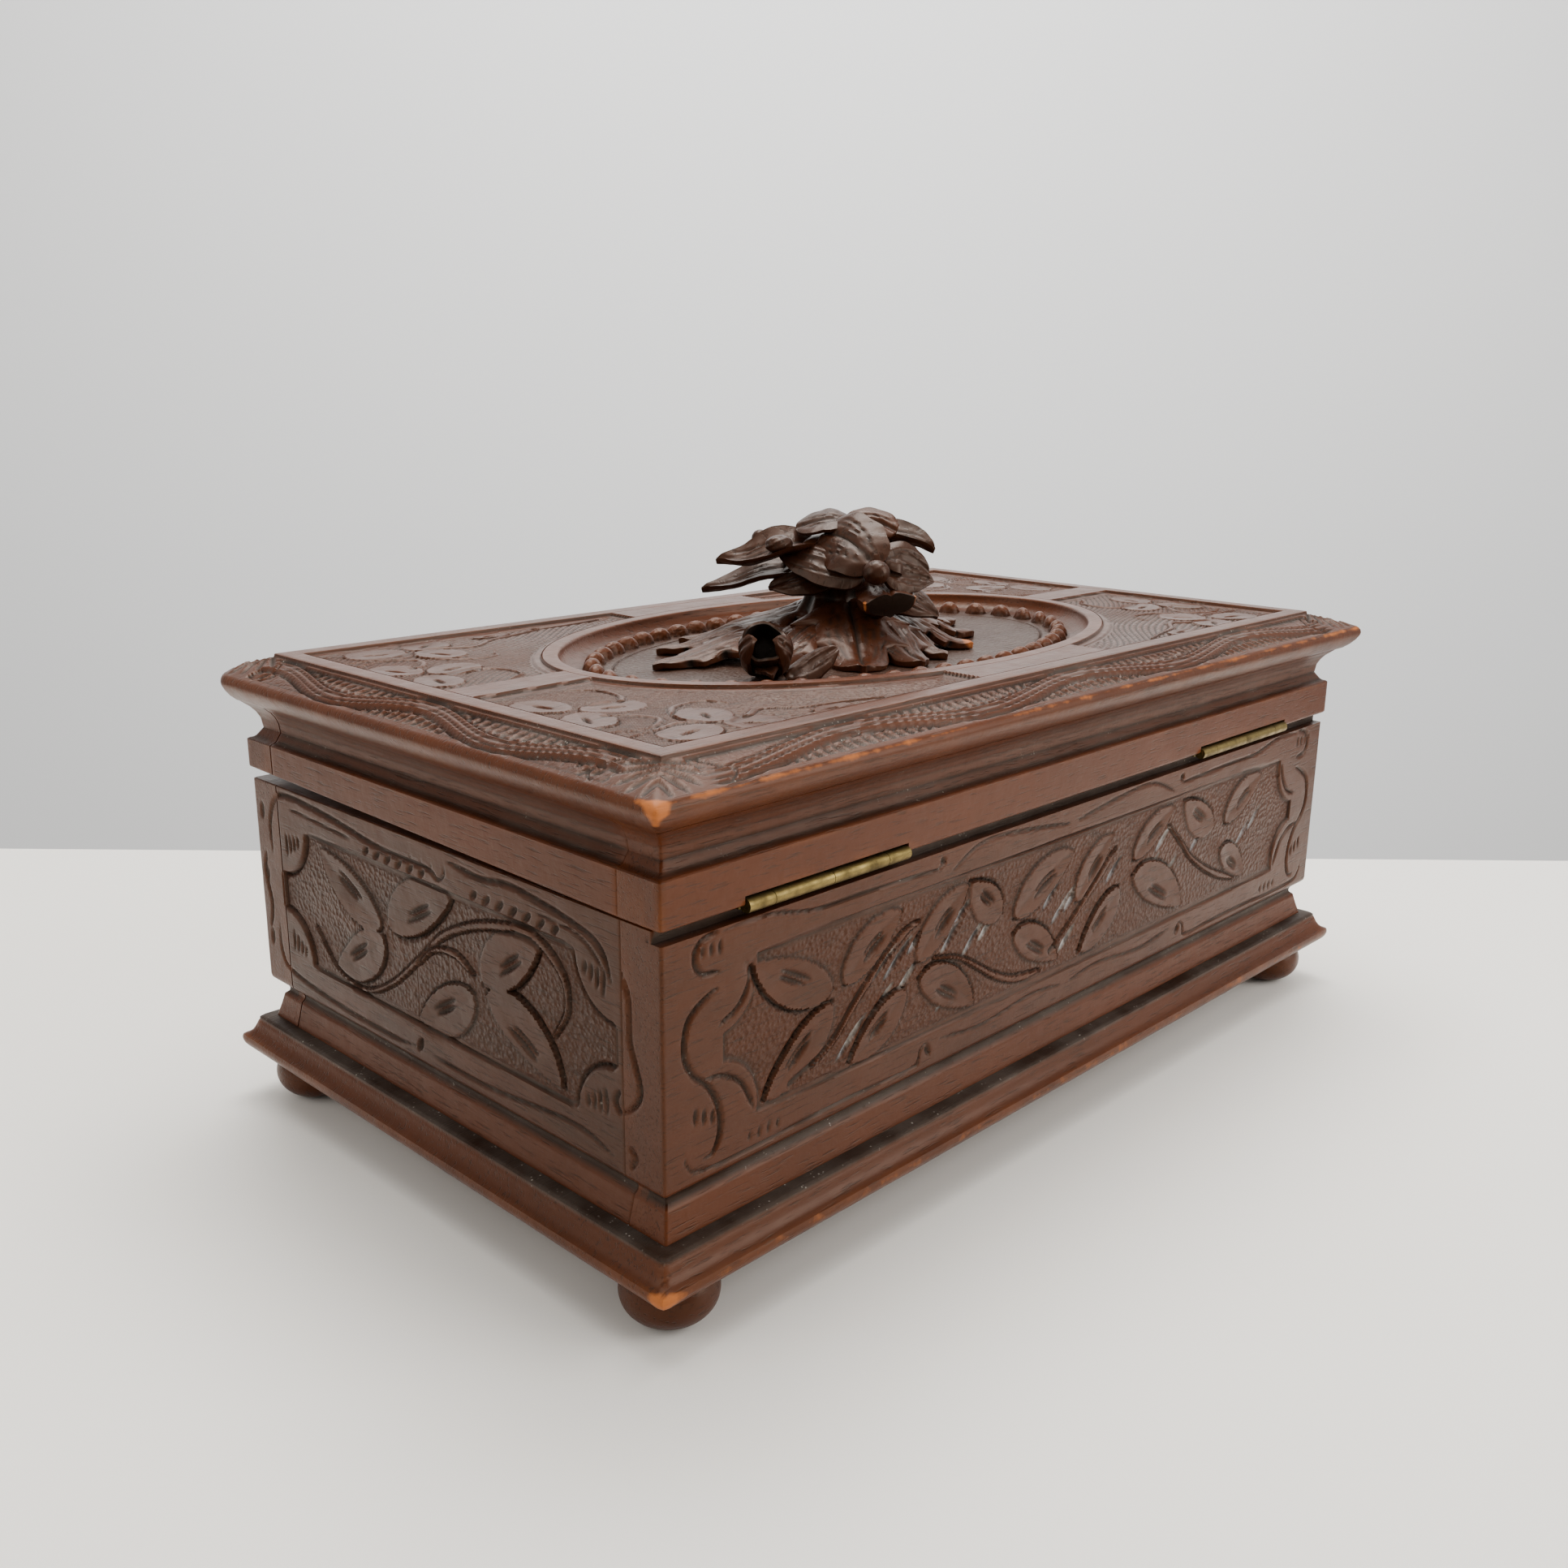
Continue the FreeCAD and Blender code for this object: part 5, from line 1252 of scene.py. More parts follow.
def flower_cup(name):
    """A hollow bud that lies on the floor of the oval, its mouth to the back right corner."""
    tall = 13.3
    outside = [(2.4, 0.1), (4.6, 1.4), (6.0, 4.5), (6.6, 8.0), (6.5, 11.0), (6.1, 13.2)]
    inside = [(5.3, tall), (5.2, 11.0), (5.0, 7.5), (3.6, 4.4), (0.02, 3.4)]
    piece = turned_piece(name, [(0.02, 0.0), *curve(outside, 1.6), *curve(inside, 1.6)], 72)
    spots = corners_of(piece)
    angle = np.arctan2(spots[:, 1], spots[:, 0])
    within = (np.hypot(spots[:, 0], spots[:, 1]) < 5.35) & (spots[:, 2] > 3.2)
    rim = np.clip(spots[:, 2] / tall, 0, 1)
    spots[:, 2] -= rim ** 3 * (0.9 * np.sin(angle * 2 + 1) + 0.5 * np.sin(angle * 5))
    spots[:, :2] *= (1 + 0.04 * rim * np.sin(angle * 5 + 0.7) - 0.05 * np.cos(angle * 2))[:, None]
    spots *= (0.84, 0.84, 0.80)
    lean = Matrix.Rotation(math.radians(60), 3, Vector((-0.66, 0.75, 0)))
    spots = spots @ np.array(lean).T + (46.0, 16.5, OVAL_FLOOR + 5.2)
    spots = keep_in(spots, FINIAL_LOW, FINIAL_HIGH, 0.5)
    move_corners(piece, spots)
    measure_relief(piece, 2, 8)
    # The inside of the cup is marked hollow, so it is painted dark: painted shade.
    set_layer(piece, "hollow", within * 1.0)
    return piece


# Each leaf: its name, its width, the way it faces, the rest of its shape, and its path of places
# as seen() takes them.
LEAVES = (
    ("top", 11.0, (0.34, 0.3, 1.0), {"cup": -0.10, "veins": 1, "shape": (0.42, 0.40)},
     (2.5, 6, 30.0), (-4, 7, 31.3), (-13.0, 6, 28.6)),
    ("stub", 10, (0.5, 0.45, 0.8),
     {"cup": -0.18, "veins": 1, "shape": (0.4, 0.35), "colour": 0.8, "bare": 0.25},
     (0, 1, 29.8), (7, 2, 30.6), (14, 4, 27.8)),
    ("petal_up", 18, (0.744, 0.668, 0.5), {"cup": -0.16, "shape": (0.36, 0.30), "colour": 0.1},
     (8.0, 23.4, 20.2), (4.8, 21.2, 23.8), (0.5, 16, 26.6), (-5.5, 9, 27.8)),
    ("petal_left", 11.5, (0.744, 0.668, 0.75), {"cup": -0.24, "shape": (0.42, 0.62)},
     (5.4, 22.6, 18.2), (-1.5, 19.6, 19.6), (-9.5, 15, 21.6), (-17.5, 10, 22.8)),
    ("pointed_left", 13.0, (0.3, 0.25, 1), {"cup": 0.30, "veins": 2, "curl": 0.8, "colour": 0.3},
     (-8, 6, 25.2), (-16, 10, 24.6), (-25, 11, 21.0), (-34, 9, 19.9)),
    ("low_left", 13, (0.2, 0.2, 1), {"cup": 0.15, "veins": 1},
     (-6, 2, 18), (-20, 6, 17.5), (-30, 6, 14), (-38.5, 5, 12.3)),
    ("mid_left", 13, (0.5, 0.4, 0.8), {"cup": -0.2, "veins": 2},
     (-3, 8, 18), (-12, 13, 16.5), (-20, 13, 13.5)),
    ("petal_high", 9.5, (0.7, 0.6, 0.6), {"cup": -0.25, "veins": 2},
     (10.5, 21.5, 22.4), (15, 19, 22.6), (19.5, 17, 20.6), (22.8, 15.5, 18.2)),
    ("petal_right", 10.0, (0.7, 0.6, 0.7), {"cup": -0.25},
     (10.5, 23.0, 18.8), (15, 21, 18.4), (20, 19, 17.4), (24.0, 17.5, 16.2)),
    ("right_curled", 11.5, (0.35, 0.4, 1), {"cup": 0.35, "veins": 1, "rolled": 12},
     (4, -2, 25), (13, -3, 26.2), (20, -2, 25), (25, -1, 22.8)),
    ("broken", 15.0, (0.2, 0.2, 1), {"cup": -0.30, "veins": 1, "thick": 10.0, "shape": (0.35, 0.06),
                                     "colour": 0.4, "snapped": True},
     (6.5, 12, 16.0), (10, 20, 15.4), (12.4, 26.0, 13.8)),
    ("under_right", 13, (0.4, 0.4, 1), {"cup": -0.2, "veins": 2},
     (9, 4, 13), (19, 8, 10), (26, 9, 6)),
    ("back_large", 19, (-0.744, -0.668, 0.6), {"cup": -0.25},
     (1, -4, 30), (2, -14, 26), (3, -21, 16)),
    ("back_left", 15, (-0.3, -0.4, 1), {"cup": -0.2}, (-6, -4, 27), (-15, -13, 23), (-22, -19, 15)),
    ("back_right", 13, (-0.3, -0.4, 1), {"cup": -0.2}, (7, -5, 25), (15, -12, 21), (21, -17, 13)),
    ("back_low", 15, (-0.3, -0.3, 1), {"cup": -0.2}, (-3, -8, 16), (-6, -18, 12), (-9, -26, 7)),
)

# The leaves of the skirt, in turn: x and y of the tip, width, height of the crest above the lid's
# top, and how many teeth each edge has.
SKIRT = (
    (25, 30, 29, 7.5, 3), (8.5, 36, 22, 7.0, 4), (-5, 33, 17, 7.5, 5), (-24, 27, 16, 6.5, 5),
    (-40, 15, 15, 5.5, 5), (-54, -3, 17, 4.5, 6), (-38, -20, 18, 5.5, 6), (-16, -33, 19, 6.5, 6),
    (8, -37, 19, 6.5, 6), (30, -34, 17, 6.0, 6), (46, -25, 16, 5.0, 6), (61, -9, 18, 3.2, 6),
    (42, 11, 18, 5.0, 4),
)
BARED_SKIRT = 3     # the skirt leaf whose tip is broken down to raw wood


def skirt_leaf(index, x, y, width, crest, teeth):
    """A leaf of the skirt, which runs from the waist down to the floor of the oval."""
    reach = math.hypot(x, y)
    out_x, out_y = x / reach, y / reach
    start = 7.0 if reach < 48 else 9.0
    path = [(out_x * start, out_y * start, LID_TOP + 10.5),
            (out_x * (start + 5), out_y * (start + 5), LID_TOP + crest + 1.5),
            (x * 0.62, y * 0.62, LID_TOP + crest * 0.45 + 0.2), (x * 0.84, y * 0.84, LID_TOP - 1.4),
            (x, y, OVAL_FLOOR + 2.3)]
    return foliage_leaf(f"finial_skirt_{index + 1}", path, width, (out_x * 0.4, out_y * 0.4, 1),
                        cup=-0.26, teeth=teeth, thick=3.8, shape=(0.50, 0.80), bite=0.5,
                        bare=0.9 if index == BARED_SKIRT else 0.15, colour=0.65)


def bud_leaves():
    """The two halves of the bud's husk, its leaf and its sepal."""
    low = OVAL_FLOOR
    made = []
    for name, first in (("left", -1), ("right", 1)):
        path = [seen(-18.4 + first * away, depth, OVAL_FLOOR - LID_TOP + rise) for away, depth, rise
                in ((2.0, 44.5, 2.0), (6.2, 49, 4.4), (6.6, 54, 8.2), (3.6, 57, 11.6))]
        made.append(foliage_leaf(
            f"finial_bud_husk_{name}", path, 8.5, (0.5 - 0.668 * first, 0.45 + 0.744 * first, 0.3),
            cup=-0.45, veins=1, shape=(0.5, 0.5), colour=0.3, bare=0.3))
    made.append(foliage_leaf(
        "finial_bud_leaf", [(47, 24, low + 1.0), (42, 27.5, low + 4.5), (36.5, 31, low + 8.5)], 8.5,
        (0.2, 0.5, 1), cup=-0.3, veins=2, shape=(0.4, 0.6), colour=0.2))
    made.append(foliage_leaf(
        "finial_bud_sepal", [(44, 15, low + 1.0), (50, 20, low + 5.0), (55, 27, low + 4.0)], 8,
        (0.6, 0.5, 0.7), cup=-0.3, veins=2))
    return made


def build_finial(material):
    """The whole finial."""
    made = [foliage_leaf(f"finial_{name}", [seen(*place) for place in path], width, facing, **shape)
            for name, width, facing, shape, *path in LEAVES]
    made += [skirt_leaf(index, *leaf) for index, leaf in enumerate(SKIRT)]
    made += bud_leaves()
    made.append(finial_stock("finial_stock"))
    made.append(flower_cup("finial_bud"))
    made.append(ball("finial_flower_eye", seen(8.4, 24.6, 18.9), 3.5, (1, 1, 0.92), 0.02))
    made.append(ball("finial_berry", seen(-22.5, 4, 25.2), 2.3))
    made.append(ball("finial_knob", seen(-17.0, 13.5, 24.6), 3.4, (1.15, 1.0, 0.72), 0.05))
    stem = ball("finial_bud_stem", (33, 13.5, OVAL_FLOOR + 1.8), 1.0, (17, 2.4, 1.7), 0.02)
    spots = corners_of(stem)
    spots[:, 1] += (spots[:, 0] - 33) * 0.36
    move_corners(stem, spots)
    made.append(stem)
    for piece in made:
        settle(piece, "lid", "foliage_wood", material, "finial")


# ------------------------------------------------------------------ velvet
def slab_piece(name, low, high, rounding):
    """A box with rounded edges between two corners, in millimetres."""
    bpy.ops.object.select_all(action="DESELECT")
    bpy.ops.mesh.primitive_cube_add(size=1, location=(low + high) / 2 * MM)
    piece = bpy.context.object
    piece.name = piece.data.name = name
    piece.scale = (high - low) * MM
    bpy.ops.object.transform_apply(location=True, scale=True)
    bpy.ops.object.mode_set(mode="EDIT")
    bpy.ops.mesh.select_all(action="SELECT")
    bpy.ops.mesh.bevel(offset=rounding * MM, segments=2, affect="EDGES")
    bpy.ops.object.mode_set(mode="OBJECT")
    bpy.ops.object.shade_smooth_by_angle(angle=math.radians(40))
    return piece


def puffed_pad(node, body, material, cap=2.2):
    """A velvet pad blown up by cloth simulation, then quilted on its open side."""
    low, high = span(node)
    open_up = body == "carcass"
    inset, pressure, steps = np.array([2.5, 2.5, 1.5]), 4.0, 20
    piece = slab_piece(f"{node}_velvet", low + inset, high - inset, 1.2)
    voxels = piece.modifiers.new("even", "REMESH")
    voxels.mode = "VOXEL"
    voxels.voxel_size = 3 * MM
    bpy.ops.object.modifier_apply(modifier=voxels.name)
    before = corners_of(piece)
    cloth = piece.modifiers.new("cloth", "CLOTH")
    cloth.settings.use_pressure = True
    cloth.settings.uniform_pressure_force = pressure
    cloth.settings.effector_weights.gravity = 0.0
    cloth.settings.quality = 5
    cloth.point_cache.frame_start = 1
    cloth.point_cache.frame_end = steps
    for frame_number in range(1, steps + 1):
        bpy.context.scene.frame_set(frame_number)
    bpy.ops.object.modifier_apply(modifier=cloth.name)
    bpy.context.scene.frame_set(1)
    move = corners_of(piece) - before
    length = np.linalg.norm(move, axis=1)
    spots = before + move * np.minimum(1, cap / np.maximum(length, 1e-6))[:, None]
    middle = (low + high) / 2
    x, y = spots[:, 0] - middle[0], spots[:, 1] - middle[1]
    pitch = np.array([(high[0] - low[0]) / 6, (high[1] - low[1]) / 4])
    u, v = x / pitch[0], y / pitch[1]
    puff = np.abs(np.sin(math.pi * (u + v) / 2) * np.sin(math.pi * (u - v) / 2))
    upper = spots[:, 2] > middle[2] if open_up else spots[:, 2] < middle[2]
    dip = 1.7 * (1 - puff ** 0.45) * upper
    spots[:, 2] += np.where(open_up, -dip, dip)
    spots = np.clip(spots, low + 0.15, high - 0.15)
    flat = low[2] + 0.05 if open_up else high[2] - 0.05
    resting = spots[:, 2] < low[2] + 0.9 if open_up else spots[:, 2] > high[2] - 0.9
    spots[resting, 2] = flat
    move_corners(piece, spots)
    smooth = piece.modifiers.new("smooth", "SUBSURF")
    smooth.levels = smooth.render_levels = 1
    bpy.ops.object.modifier_apply(modifier=smooth.name)
    bpy.ops.object.shade_smooth()
    settle(piece, body, "lining", material, node)


def wall_lining(node, material):
    """Velvet on card against one wall of the box, drawn in a little along its edges."""
    low, high = span(node)
    thin = 0 if high[0] - low[0] < high[1] - low[1] else 1
    wide = 1 - thin
    inward = -1 if (low[thin] + high[thin]) > 0 else 1
    columns, rows = np.linspace(low[wide], high[wide], 90), np.linspace(low[2], high[2], 28)
    edge = np.minimum(np.minimum(columns[None, :] - low[wide], high[wide] - columns[None, :]),
                      np.minimum(rows[:, None] - low[2], high[2] - rows[:, None]))
    puff = 0.55 + (high[thin] - low[thin] - 0.6) * np.clip(edge / 3.0, 0, 1) ** 0.5
    puff = puff + 0.04 * wobble(columns[None, :], rows[:, None], 11.0)
    wall = (high if inward < 0 else low)[thin]
    inner = np.zeros((len(rows), len(columns), 3))
    inner[..., wide] = columns
    inner[..., 2] = rows[:, None]
    inner[..., thin] = wall + inward * puff
    outer = inner.copy()
    outer[..., thin] = wall + inward * 0.03
    places = np.concatenate((inner, outer[:, ::-1], inner[:, :1]), axis=1)
    piece = grid_piece(f"{node}_velvet", places, closed=True, capped=True)
    settle(piece, "carcass", "lining", material, node)


# ------------------------------------------------------------------ materials
class Nodes:
    """Adds nodes to a node tree and joins them up."""

    def __init__(self, tree):
        self.tree = tree
        tree.nodes.clear()

    def add(self, kind, settings=None, **inputs):
        """A node of this kind. Inputs are values, or the output sockets to join to them."""
        node = self.tree.nodes.new(f"ShaderNode{kind}" if not kind.startswith("Node") else kind)
        node.location = (len(self.tree.nodes) * 170 - 900, -(len(self.tree.nodes) % 4) * 230)
        for name, value in (settings or {}).items():
            setattr(node, name, value)
        for name, value in inputs.items():
            key = int(name[1:]) if name[0] == "_" else name.replace("_", " ")
            socket = node.inputs[key]
            if isinstance(value, bpy.types.NodeSocket):
                self.tree.links.new(value, socket)
            else:
                socket.default_value = value
        return node

    def math(self, operation, first, second=0.0, clamp=False):
        """The result of one step of arithmetic."""
        node = self.add("Math", {"operation": operation, "use_clamp": clamp}, _0=first, _1=second)
        return node.outputs[0]

    def times(self, first, second, clamp=False):
        """A product."""
        return self.math("MULTIPLY", first, second, clamp)

    def plus(self, first, second, clamp=False):
        """A sum."""
        return self.math("ADD", first, second, clamp)

    def ramp(self, value, low, high):
        """Where a value lies between low and high, from 0 to 1."""
        node = self.add("MapRange", {"clamp": True}, Value=value, From_Min=low, From_Max=high)
        return node.outputs["Result"]

    def mix(self, factor, first, second, blend="MIX"):
        """One colour over another."""
        kind = {"data_type": "RGBA", "blend_type": blend}
        return self.add("Mix", kind, _0=factor, _6=first, _7=second).outputs[2]

    def layer(self, name):
        """The number that a piece stores for each of its corners under this name."""
        return self.add("Attribute", {"attribute_name": name}).outputs["Fac"]

    def noise(self, scale, detail=3.0, vector=None, roughness=0.55):
        """Cloudy noise, as a value."""
        place = vector or self.add("TexCoord").outputs["Object"]
        node = self.add("TexNoise", Vector=place, Scale=scale, Detail=detail, Roughness=roughness)
        return node.outputs[0]

    def surface(self, **inputs):
        """The material's surface, from the values of a principled shader."""
        shader = self.add("BsdfPrincipled", **inputs)
        self.add("OutputMaterial", Surface=shader.outputs[0])


def group_of(name, inputs, outputs, build):
    """The named node group, made when it is first needed. build gets the nodes and the input
    sockets, and gives back the outputs in order."""
    group = bpy.data.node_groups.get(name)
    if group is None:
        group = bpy.data.node_groups.new(name, "ShaderNodeTree")
        for label, kind in inputs:
            group.interface.new_socket(label, in_out="INPUT", socket_type=f"NodeSocket{kind}")
        for label, kind in outputs:
            group.interface.new_socket(label, in_out="OUTPUT", socket_type=f"NodeSocket{kind}")
        nodes = Nodes(group)
        results = build(nodes, nodes.add("NodeGroupInput").outputs)
        end = nodes.add("NodeGroupOutput")
        for index, result in enumerate(results):
            group.links.new(result, end.inputs[index])
    return group


GRAIN_PARTS = [("Figure", "Float"), ("Pores", "Float")]


def grain_group():
    """Wood grain: its figure, and its dark pores."""
    def build(n, given):
        place = n.add("TexCoord").outputs["Object"]
        drawn = n.add("VectorMath", {"operation": "MULTIPLY"}, _0=place, _1=given["Stretch"])
        figure = n.noise(1.0, 5.0, drawn.outputs[0], 0.6)
        fine = n.add("VectorMath", {"operation": "SCALE"}, _0=drawn.outputs[0], Scale=7.0)
        pores = n.ramp(n.noise(1.0, 2.0, fine.outputs[0]), 0.56, 0.70)
        return n.ramp(figure, 0.32, 0.70), pores
    return group_of("Wood grain", [("Stretch", "Vector")], GRAIN_PARTS, build)


def stain_group():
    """Stained wood: redder where the warm layer says, darker in its hollows and pores, and bared
    where it is worn. The darkening of the hollows is grime and painted shade."""
    def build(n, given):
        base = n.mix(n.layer("warm"), given["Stain"], given["Warm stain"])
        tone = n.plus(0.62, n.times(n.noise(30.0, 4.0), 0.8))
        toned = n.add("CombineColor", Red=tone, Green=tone, Blue=tone).outputs[0]
        base = n.mix(1.0, base, toned, "MULTIPLY")
        base = n.mix(n.times(given["Figure"], 0.45), base, given["Warm stain"])
        base = n.mix(n.times(given["Pores"], 0.55), base, given["Grime"])
        base = n.mix(n.times(n.layer("raw"), 0.6), base, given["Raw wood"])
        patches = n.ramp(n.noise(75.0, 5.0), 0.36, 0.66)
        worn = n.times(n.layer("worn"), n.times(patches, given["Wear"]), True)
        base = n.mix(worn, base, given["Raw wood"])
        rubbed = n.ramp(n.plus(n.layer("rubbed"), n.times(n.noise(210.0, 5.0), 0.8)), 0.85, 1.1)
        base = n.mix(rubbed, base, given["Raw wood"])
        # Darker in the hollows and a little on the carved ground: grime, and painted shade where
        # the recesses fall in shadow.
        deep = n.times(n.plus(n.layer("hollow"), n.times(n.layer("ground"), 0.10)),
                      given["Dirt"], True)
        base = n.mix(deep, base, given["Grime"])
        rough = n.plus(given["Gloss"], n.times(n.noise(160.0, 4.0), 0.22))
        rough = n.plus(rough, n.times(n.math("MAXIMUM", deep, rubbed), 0.22))
        return base, rough
    colours = [(name, "Color") for name in ("Stain", "Warm stain", "Raw wood", "Grime")]
    numbers = [(name, "Float") for name in ("Figure", "Pores", "Wear", "Dirt", "Gloss")]
    return group_of("Stained, worn, grimy and shaded", colours + numbers,
                    [("Color", "Color"), ("Roughness", "Float")], build)


def dust_group():
    """Pale dust in the hollows and on the ledges, and a painted pale glint in the slanting chips.
    """
    def build(n, given):
        place = n.add("TexCoord").outputs["Object"]
        cells = n.add("TexVoronoi", Vector=place, Scale=1150.0, Randomness=1.0).outputs["Distance"]
        grit = n.times(n.ramp(cells, 0.30, 0.16), n.ramp(n.noise(420.0, 3.0), 0.54, 0.64))
        where = n.plus(n.times(n.layer("hollow"), 1.1), n.layer("dusty"), True)
        where = n.times(where, n.ramp(n.noise(48.0, 4.0), 0.40, 0.64))
        mask = n.times(n.times(grit, where), given["Amount"], True)
        film = n.times(n.times(where, given["Amount"]), 0.10, True)
        mask = n.math("MAXIMUM", mask, film)
        # Painted glint: pale colour in the slanting chips, standing in for the varnish's reflection
        # of the light.
        painted_glint = n.times(n.layer("shine"), n.ramp(n.noise(150.0, 4.0), 0.46, 0.60))
        mask = n.math("MAXIMUM", mask, n.times(painted_glint, 0.75))
        return n.mix(mask, given["Color"], given["Dust"]), mask
    return group_of("Pale dust and painted glint", [("Color", "Color"), ("Dust", "Color"), ("Amount", "Float")],
                    [("Color", "Color"), ("Mask", "Float")], build)


def tool_group():
    """The height of tool marks: punch marks on the ground, grain and pores."""
    def build(n, given):
        place = n.add("TexCoord").outputs["Object"]
        cells = n.add("TexVoronoi", {"feature": "SMOOTH_F1"}, Vector=place, Scale=820.0,
                      Smoothness=0.25).outputs["Distance"]
        punched = n.times(n.times(cells, 2.6), n.layer("ground"))
        facets = n.times(n.noise(330.0, 2.0), 0.55)
        grain = n.times(n.math("SUBTRACT", given["Figure"], given["Pores"]), 0.30)
        return (n.plus(punched, n.plus(facets, grain)),)
    return group_of("Tool marks", GRAIN_PARTS, [("Height", "Float")], build)


def new_material(name):
    """An empty material and its node helper."""
    material = bpy.data.materials.new(name)
    material.use_nodes = True
    return material, Nodes(material.node_tree)


def wood(name, stain, warm, stretch, wear=0.05, dirt=0.9, gloss=0.24, dust=0.9, coat=0.05):
    """Stained, varnished and worn wood, darker in its hollows with grime and painted shade, and
    with a painted pale glint in the slanting chips. stretch is how fine its grain is along x, y and
    z, and the rest is how bared, how dark in the hollows, how rough, dusty and varnished it is."""
    colours = finish_of()
    material, n = new_material(name)
    figure, pores = n.add("Group", {"node_tree": grain_group()}, Stretch=stretch).outputs
    stained = n.add("Group", {"node_tree": stain_group()}, Stain=(*stain, 1), Warm_stain=(*warm, 1),
                    Raw_wood=(*colours.raw_wood, 1), Grime=(*colours.grime, 1), Figure=figure,
                    Pores=pores, Wear=wear, Dirt=dirt, Gloss=gloss)
    # Dust, and the painted glint in the slanting chips.
    dusty = n.add("Group", {"node_tree": dust_group()}, Color=stained.outputs["Color"],
                  Dust=(*colours.dust, 1), Amount=dust)
    marks = n.add("Group", {"node_tree": tool_group()}, Figure=figure, Pores=pores)
    bump = n.add("Bump", Height=marks.outputs[0], Distance=0.0003, Strength=0.6)
    varnish = n.math("MULTIPLY_ADD", n.layer("shine"), 0.9)
    varnish.node.inputs[2].default_value = coat
    n.surface(Base_Color=dusty.outputs["Color"], Roughness=stained.outputs["Roughness"],
              Normal=bump.outputs[0], Coat_Weight=varnish, Coat_Roughness=0.25,
              Specular_IOR_Level=0.21, Specular_Tint=(1, 0.74, 0.55, 1))
    return material


def metal(name, colour, tarnish, gloss):
    """Old metal, darker in its hollows and dulled in patches."""
    material, n = new_material(name)
    patches = n.ramp(n.noise(240.0, 5.0), 0.38, 0.68)
    dull = n.math("MAXIMUM", n.times(patches, 0.75), n.layer("hollow"))
    base = n.mix(dull, (*colour, 1), (*tarnish, 1))
    rough = n.plus(gloss, n.times(dull, 0.3))
    bump = n.add("Bump", Height=n.noise(900.0, 3.0), Distance=0.0001, Strength=0.35)
    n.surface(Base_Color=base, Roughness=rough, Normal=bump.outputs[0], Metallic=1.0)
    return material


def velvet():
    """Velvet: a soft pile that catches the light at its edges."""
    material, n = new_material("Velvet")
    pile = n.noise(900.0, 3.0)
    brushed = n.ramp(n.noise(26.0, 3.0), 0.3, 0.7)
    shade = n.mix(n.times(brushed, 0.5), (*finish_of().velvet, 1),
                  (*[0.5 * part for part in finish_of().velvet], 1))
    bump = n.add("Bump", Height=pile, Distance=0.0003, Strength=0.6)
    n.surface(Base_Color=shade, Roughness=0.9, Normal=bump.outputs[0], Sheen_Weight=0.9,
              Sheen_Roughness=0.4, Sheen_Tint=(0.9, 0.35, 0.4, 1))
    return material


def plain(name, colour, roughness=0.7):
    """An even matt surface with the faintest unevenness."""
    material, n = new_material(name)
    shade = n.mix(n.times(n.noise(9.0, 3.0), 0.06), (*colour, 1), (*[0.8 * c for c in colour], 1))
    n.surface(Base_Color=shade, Roughness=roughness)
    return material


def look(name):
    """The named material, made when it is first needed."""
    made = bpy.data.materials.get(name)
    if made:
        return made
    colours = finish_of()
    dark, warm = tuple(colours.dark_stain), tuple(colours.warm_stain)
    # The end boards' stain is a darker, greyer copy of the dark stain: painted shade on the ends,
    # which face away from the light.
    shaded_dark = (dark[0] * 0.66, dark[1] * 0.78, dark[2] * 0.95)
    redder = tuple(0.82 * (0.35 * d + 0.65 * w) for d, w in zip(dark, warm))
    makers = {
        "Carved wood": lambda: wood(name, dark, warm, (22, 260, 260)),
        "Carved end wood": lambda: wood(name, shaded_dark, warm, (260, 22, 260), wear=0.04, gloss=0.27,
                                        dust=0.6),
        "Lid wood": lambda: wood(name, redder, warm, (22, 260, 260), wear=0.16, dirt=0.8,
                                 gloss=0.27, dust=0.7),
        "Lid end wood": lambda: wood(name, redder, warm, (260, 22, 260), wear=0.12, dirt=0.8,
                                     gloss=0.28, dust=0.7),
        "Lid top wood": lambda: wood(name, dark, warm, (18, 200, 200), wear=0.08, dirt=0.95,
                                     gloss=0.25, dust=1.0),
        "Base wood": lambda: wood(name, dark, warm, (22, 200, 200), wear=0.14, gloss=0.26,
                                  dust=1.2),
        "Foliage wood": lambda: wood(name, (0.024, 0.0088, 0.0046), redder, (90, 90, 30), wear=0.10,
                                     dirt=1.0, dust=0.3, coat=0.08),
        "Aged brass": lambda: metal(name, tuple(colours.brass), (0.045, 0.03, 0.012), 0.36),
        "Dull steel": lambda: metal(name, (0.30, 0.29, 0.28), (0.09, 0.07, 0.055), 0.34),
        "Velvet": velvet,
        "Pale floor": lambda: plain(name, tuple(stage_of().floor_colour), 0.55),
        "Pale backdrop": lambda: plain(name, tuple(stage_of().wall_colour), 0.9),
    }
    return makers[name]()


CAD_LOOKS = {"carved_wood": "Carved wood", "lid_wood": "Lid wood", "base_wood": "Base wood",
             "foliage_wood": "Foliage wood", "brass": "Aged brass", "steel": "Dull steel",
             "lining": "Velvet"}


def dress_cad_nodes():
    """Gives each CAD node the material of its slot, whose name its own material bears."""
    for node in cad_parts.values():
        slot = node.data.materials[0].name.split(".")[0]
        node.data.materials[0] = look(CAD_LOOKS[slot])


# ------------------------------------------------------------------ stage
def lamp(name, place, size, power, target=Vector((0, 0, 0.06))):
    """A soft square light that faces the box, or another target."""
    bpy.ops.object.light_add(type="AREA", location=place)
    light = bpy.context.object
    light.name = name
    light.data.shape = "SQUARE"
    light.data.size = size
    light.data.energy = power
    light.rotation_euler = (target - place).to_track_quat("-Z", "Y").to_euler()


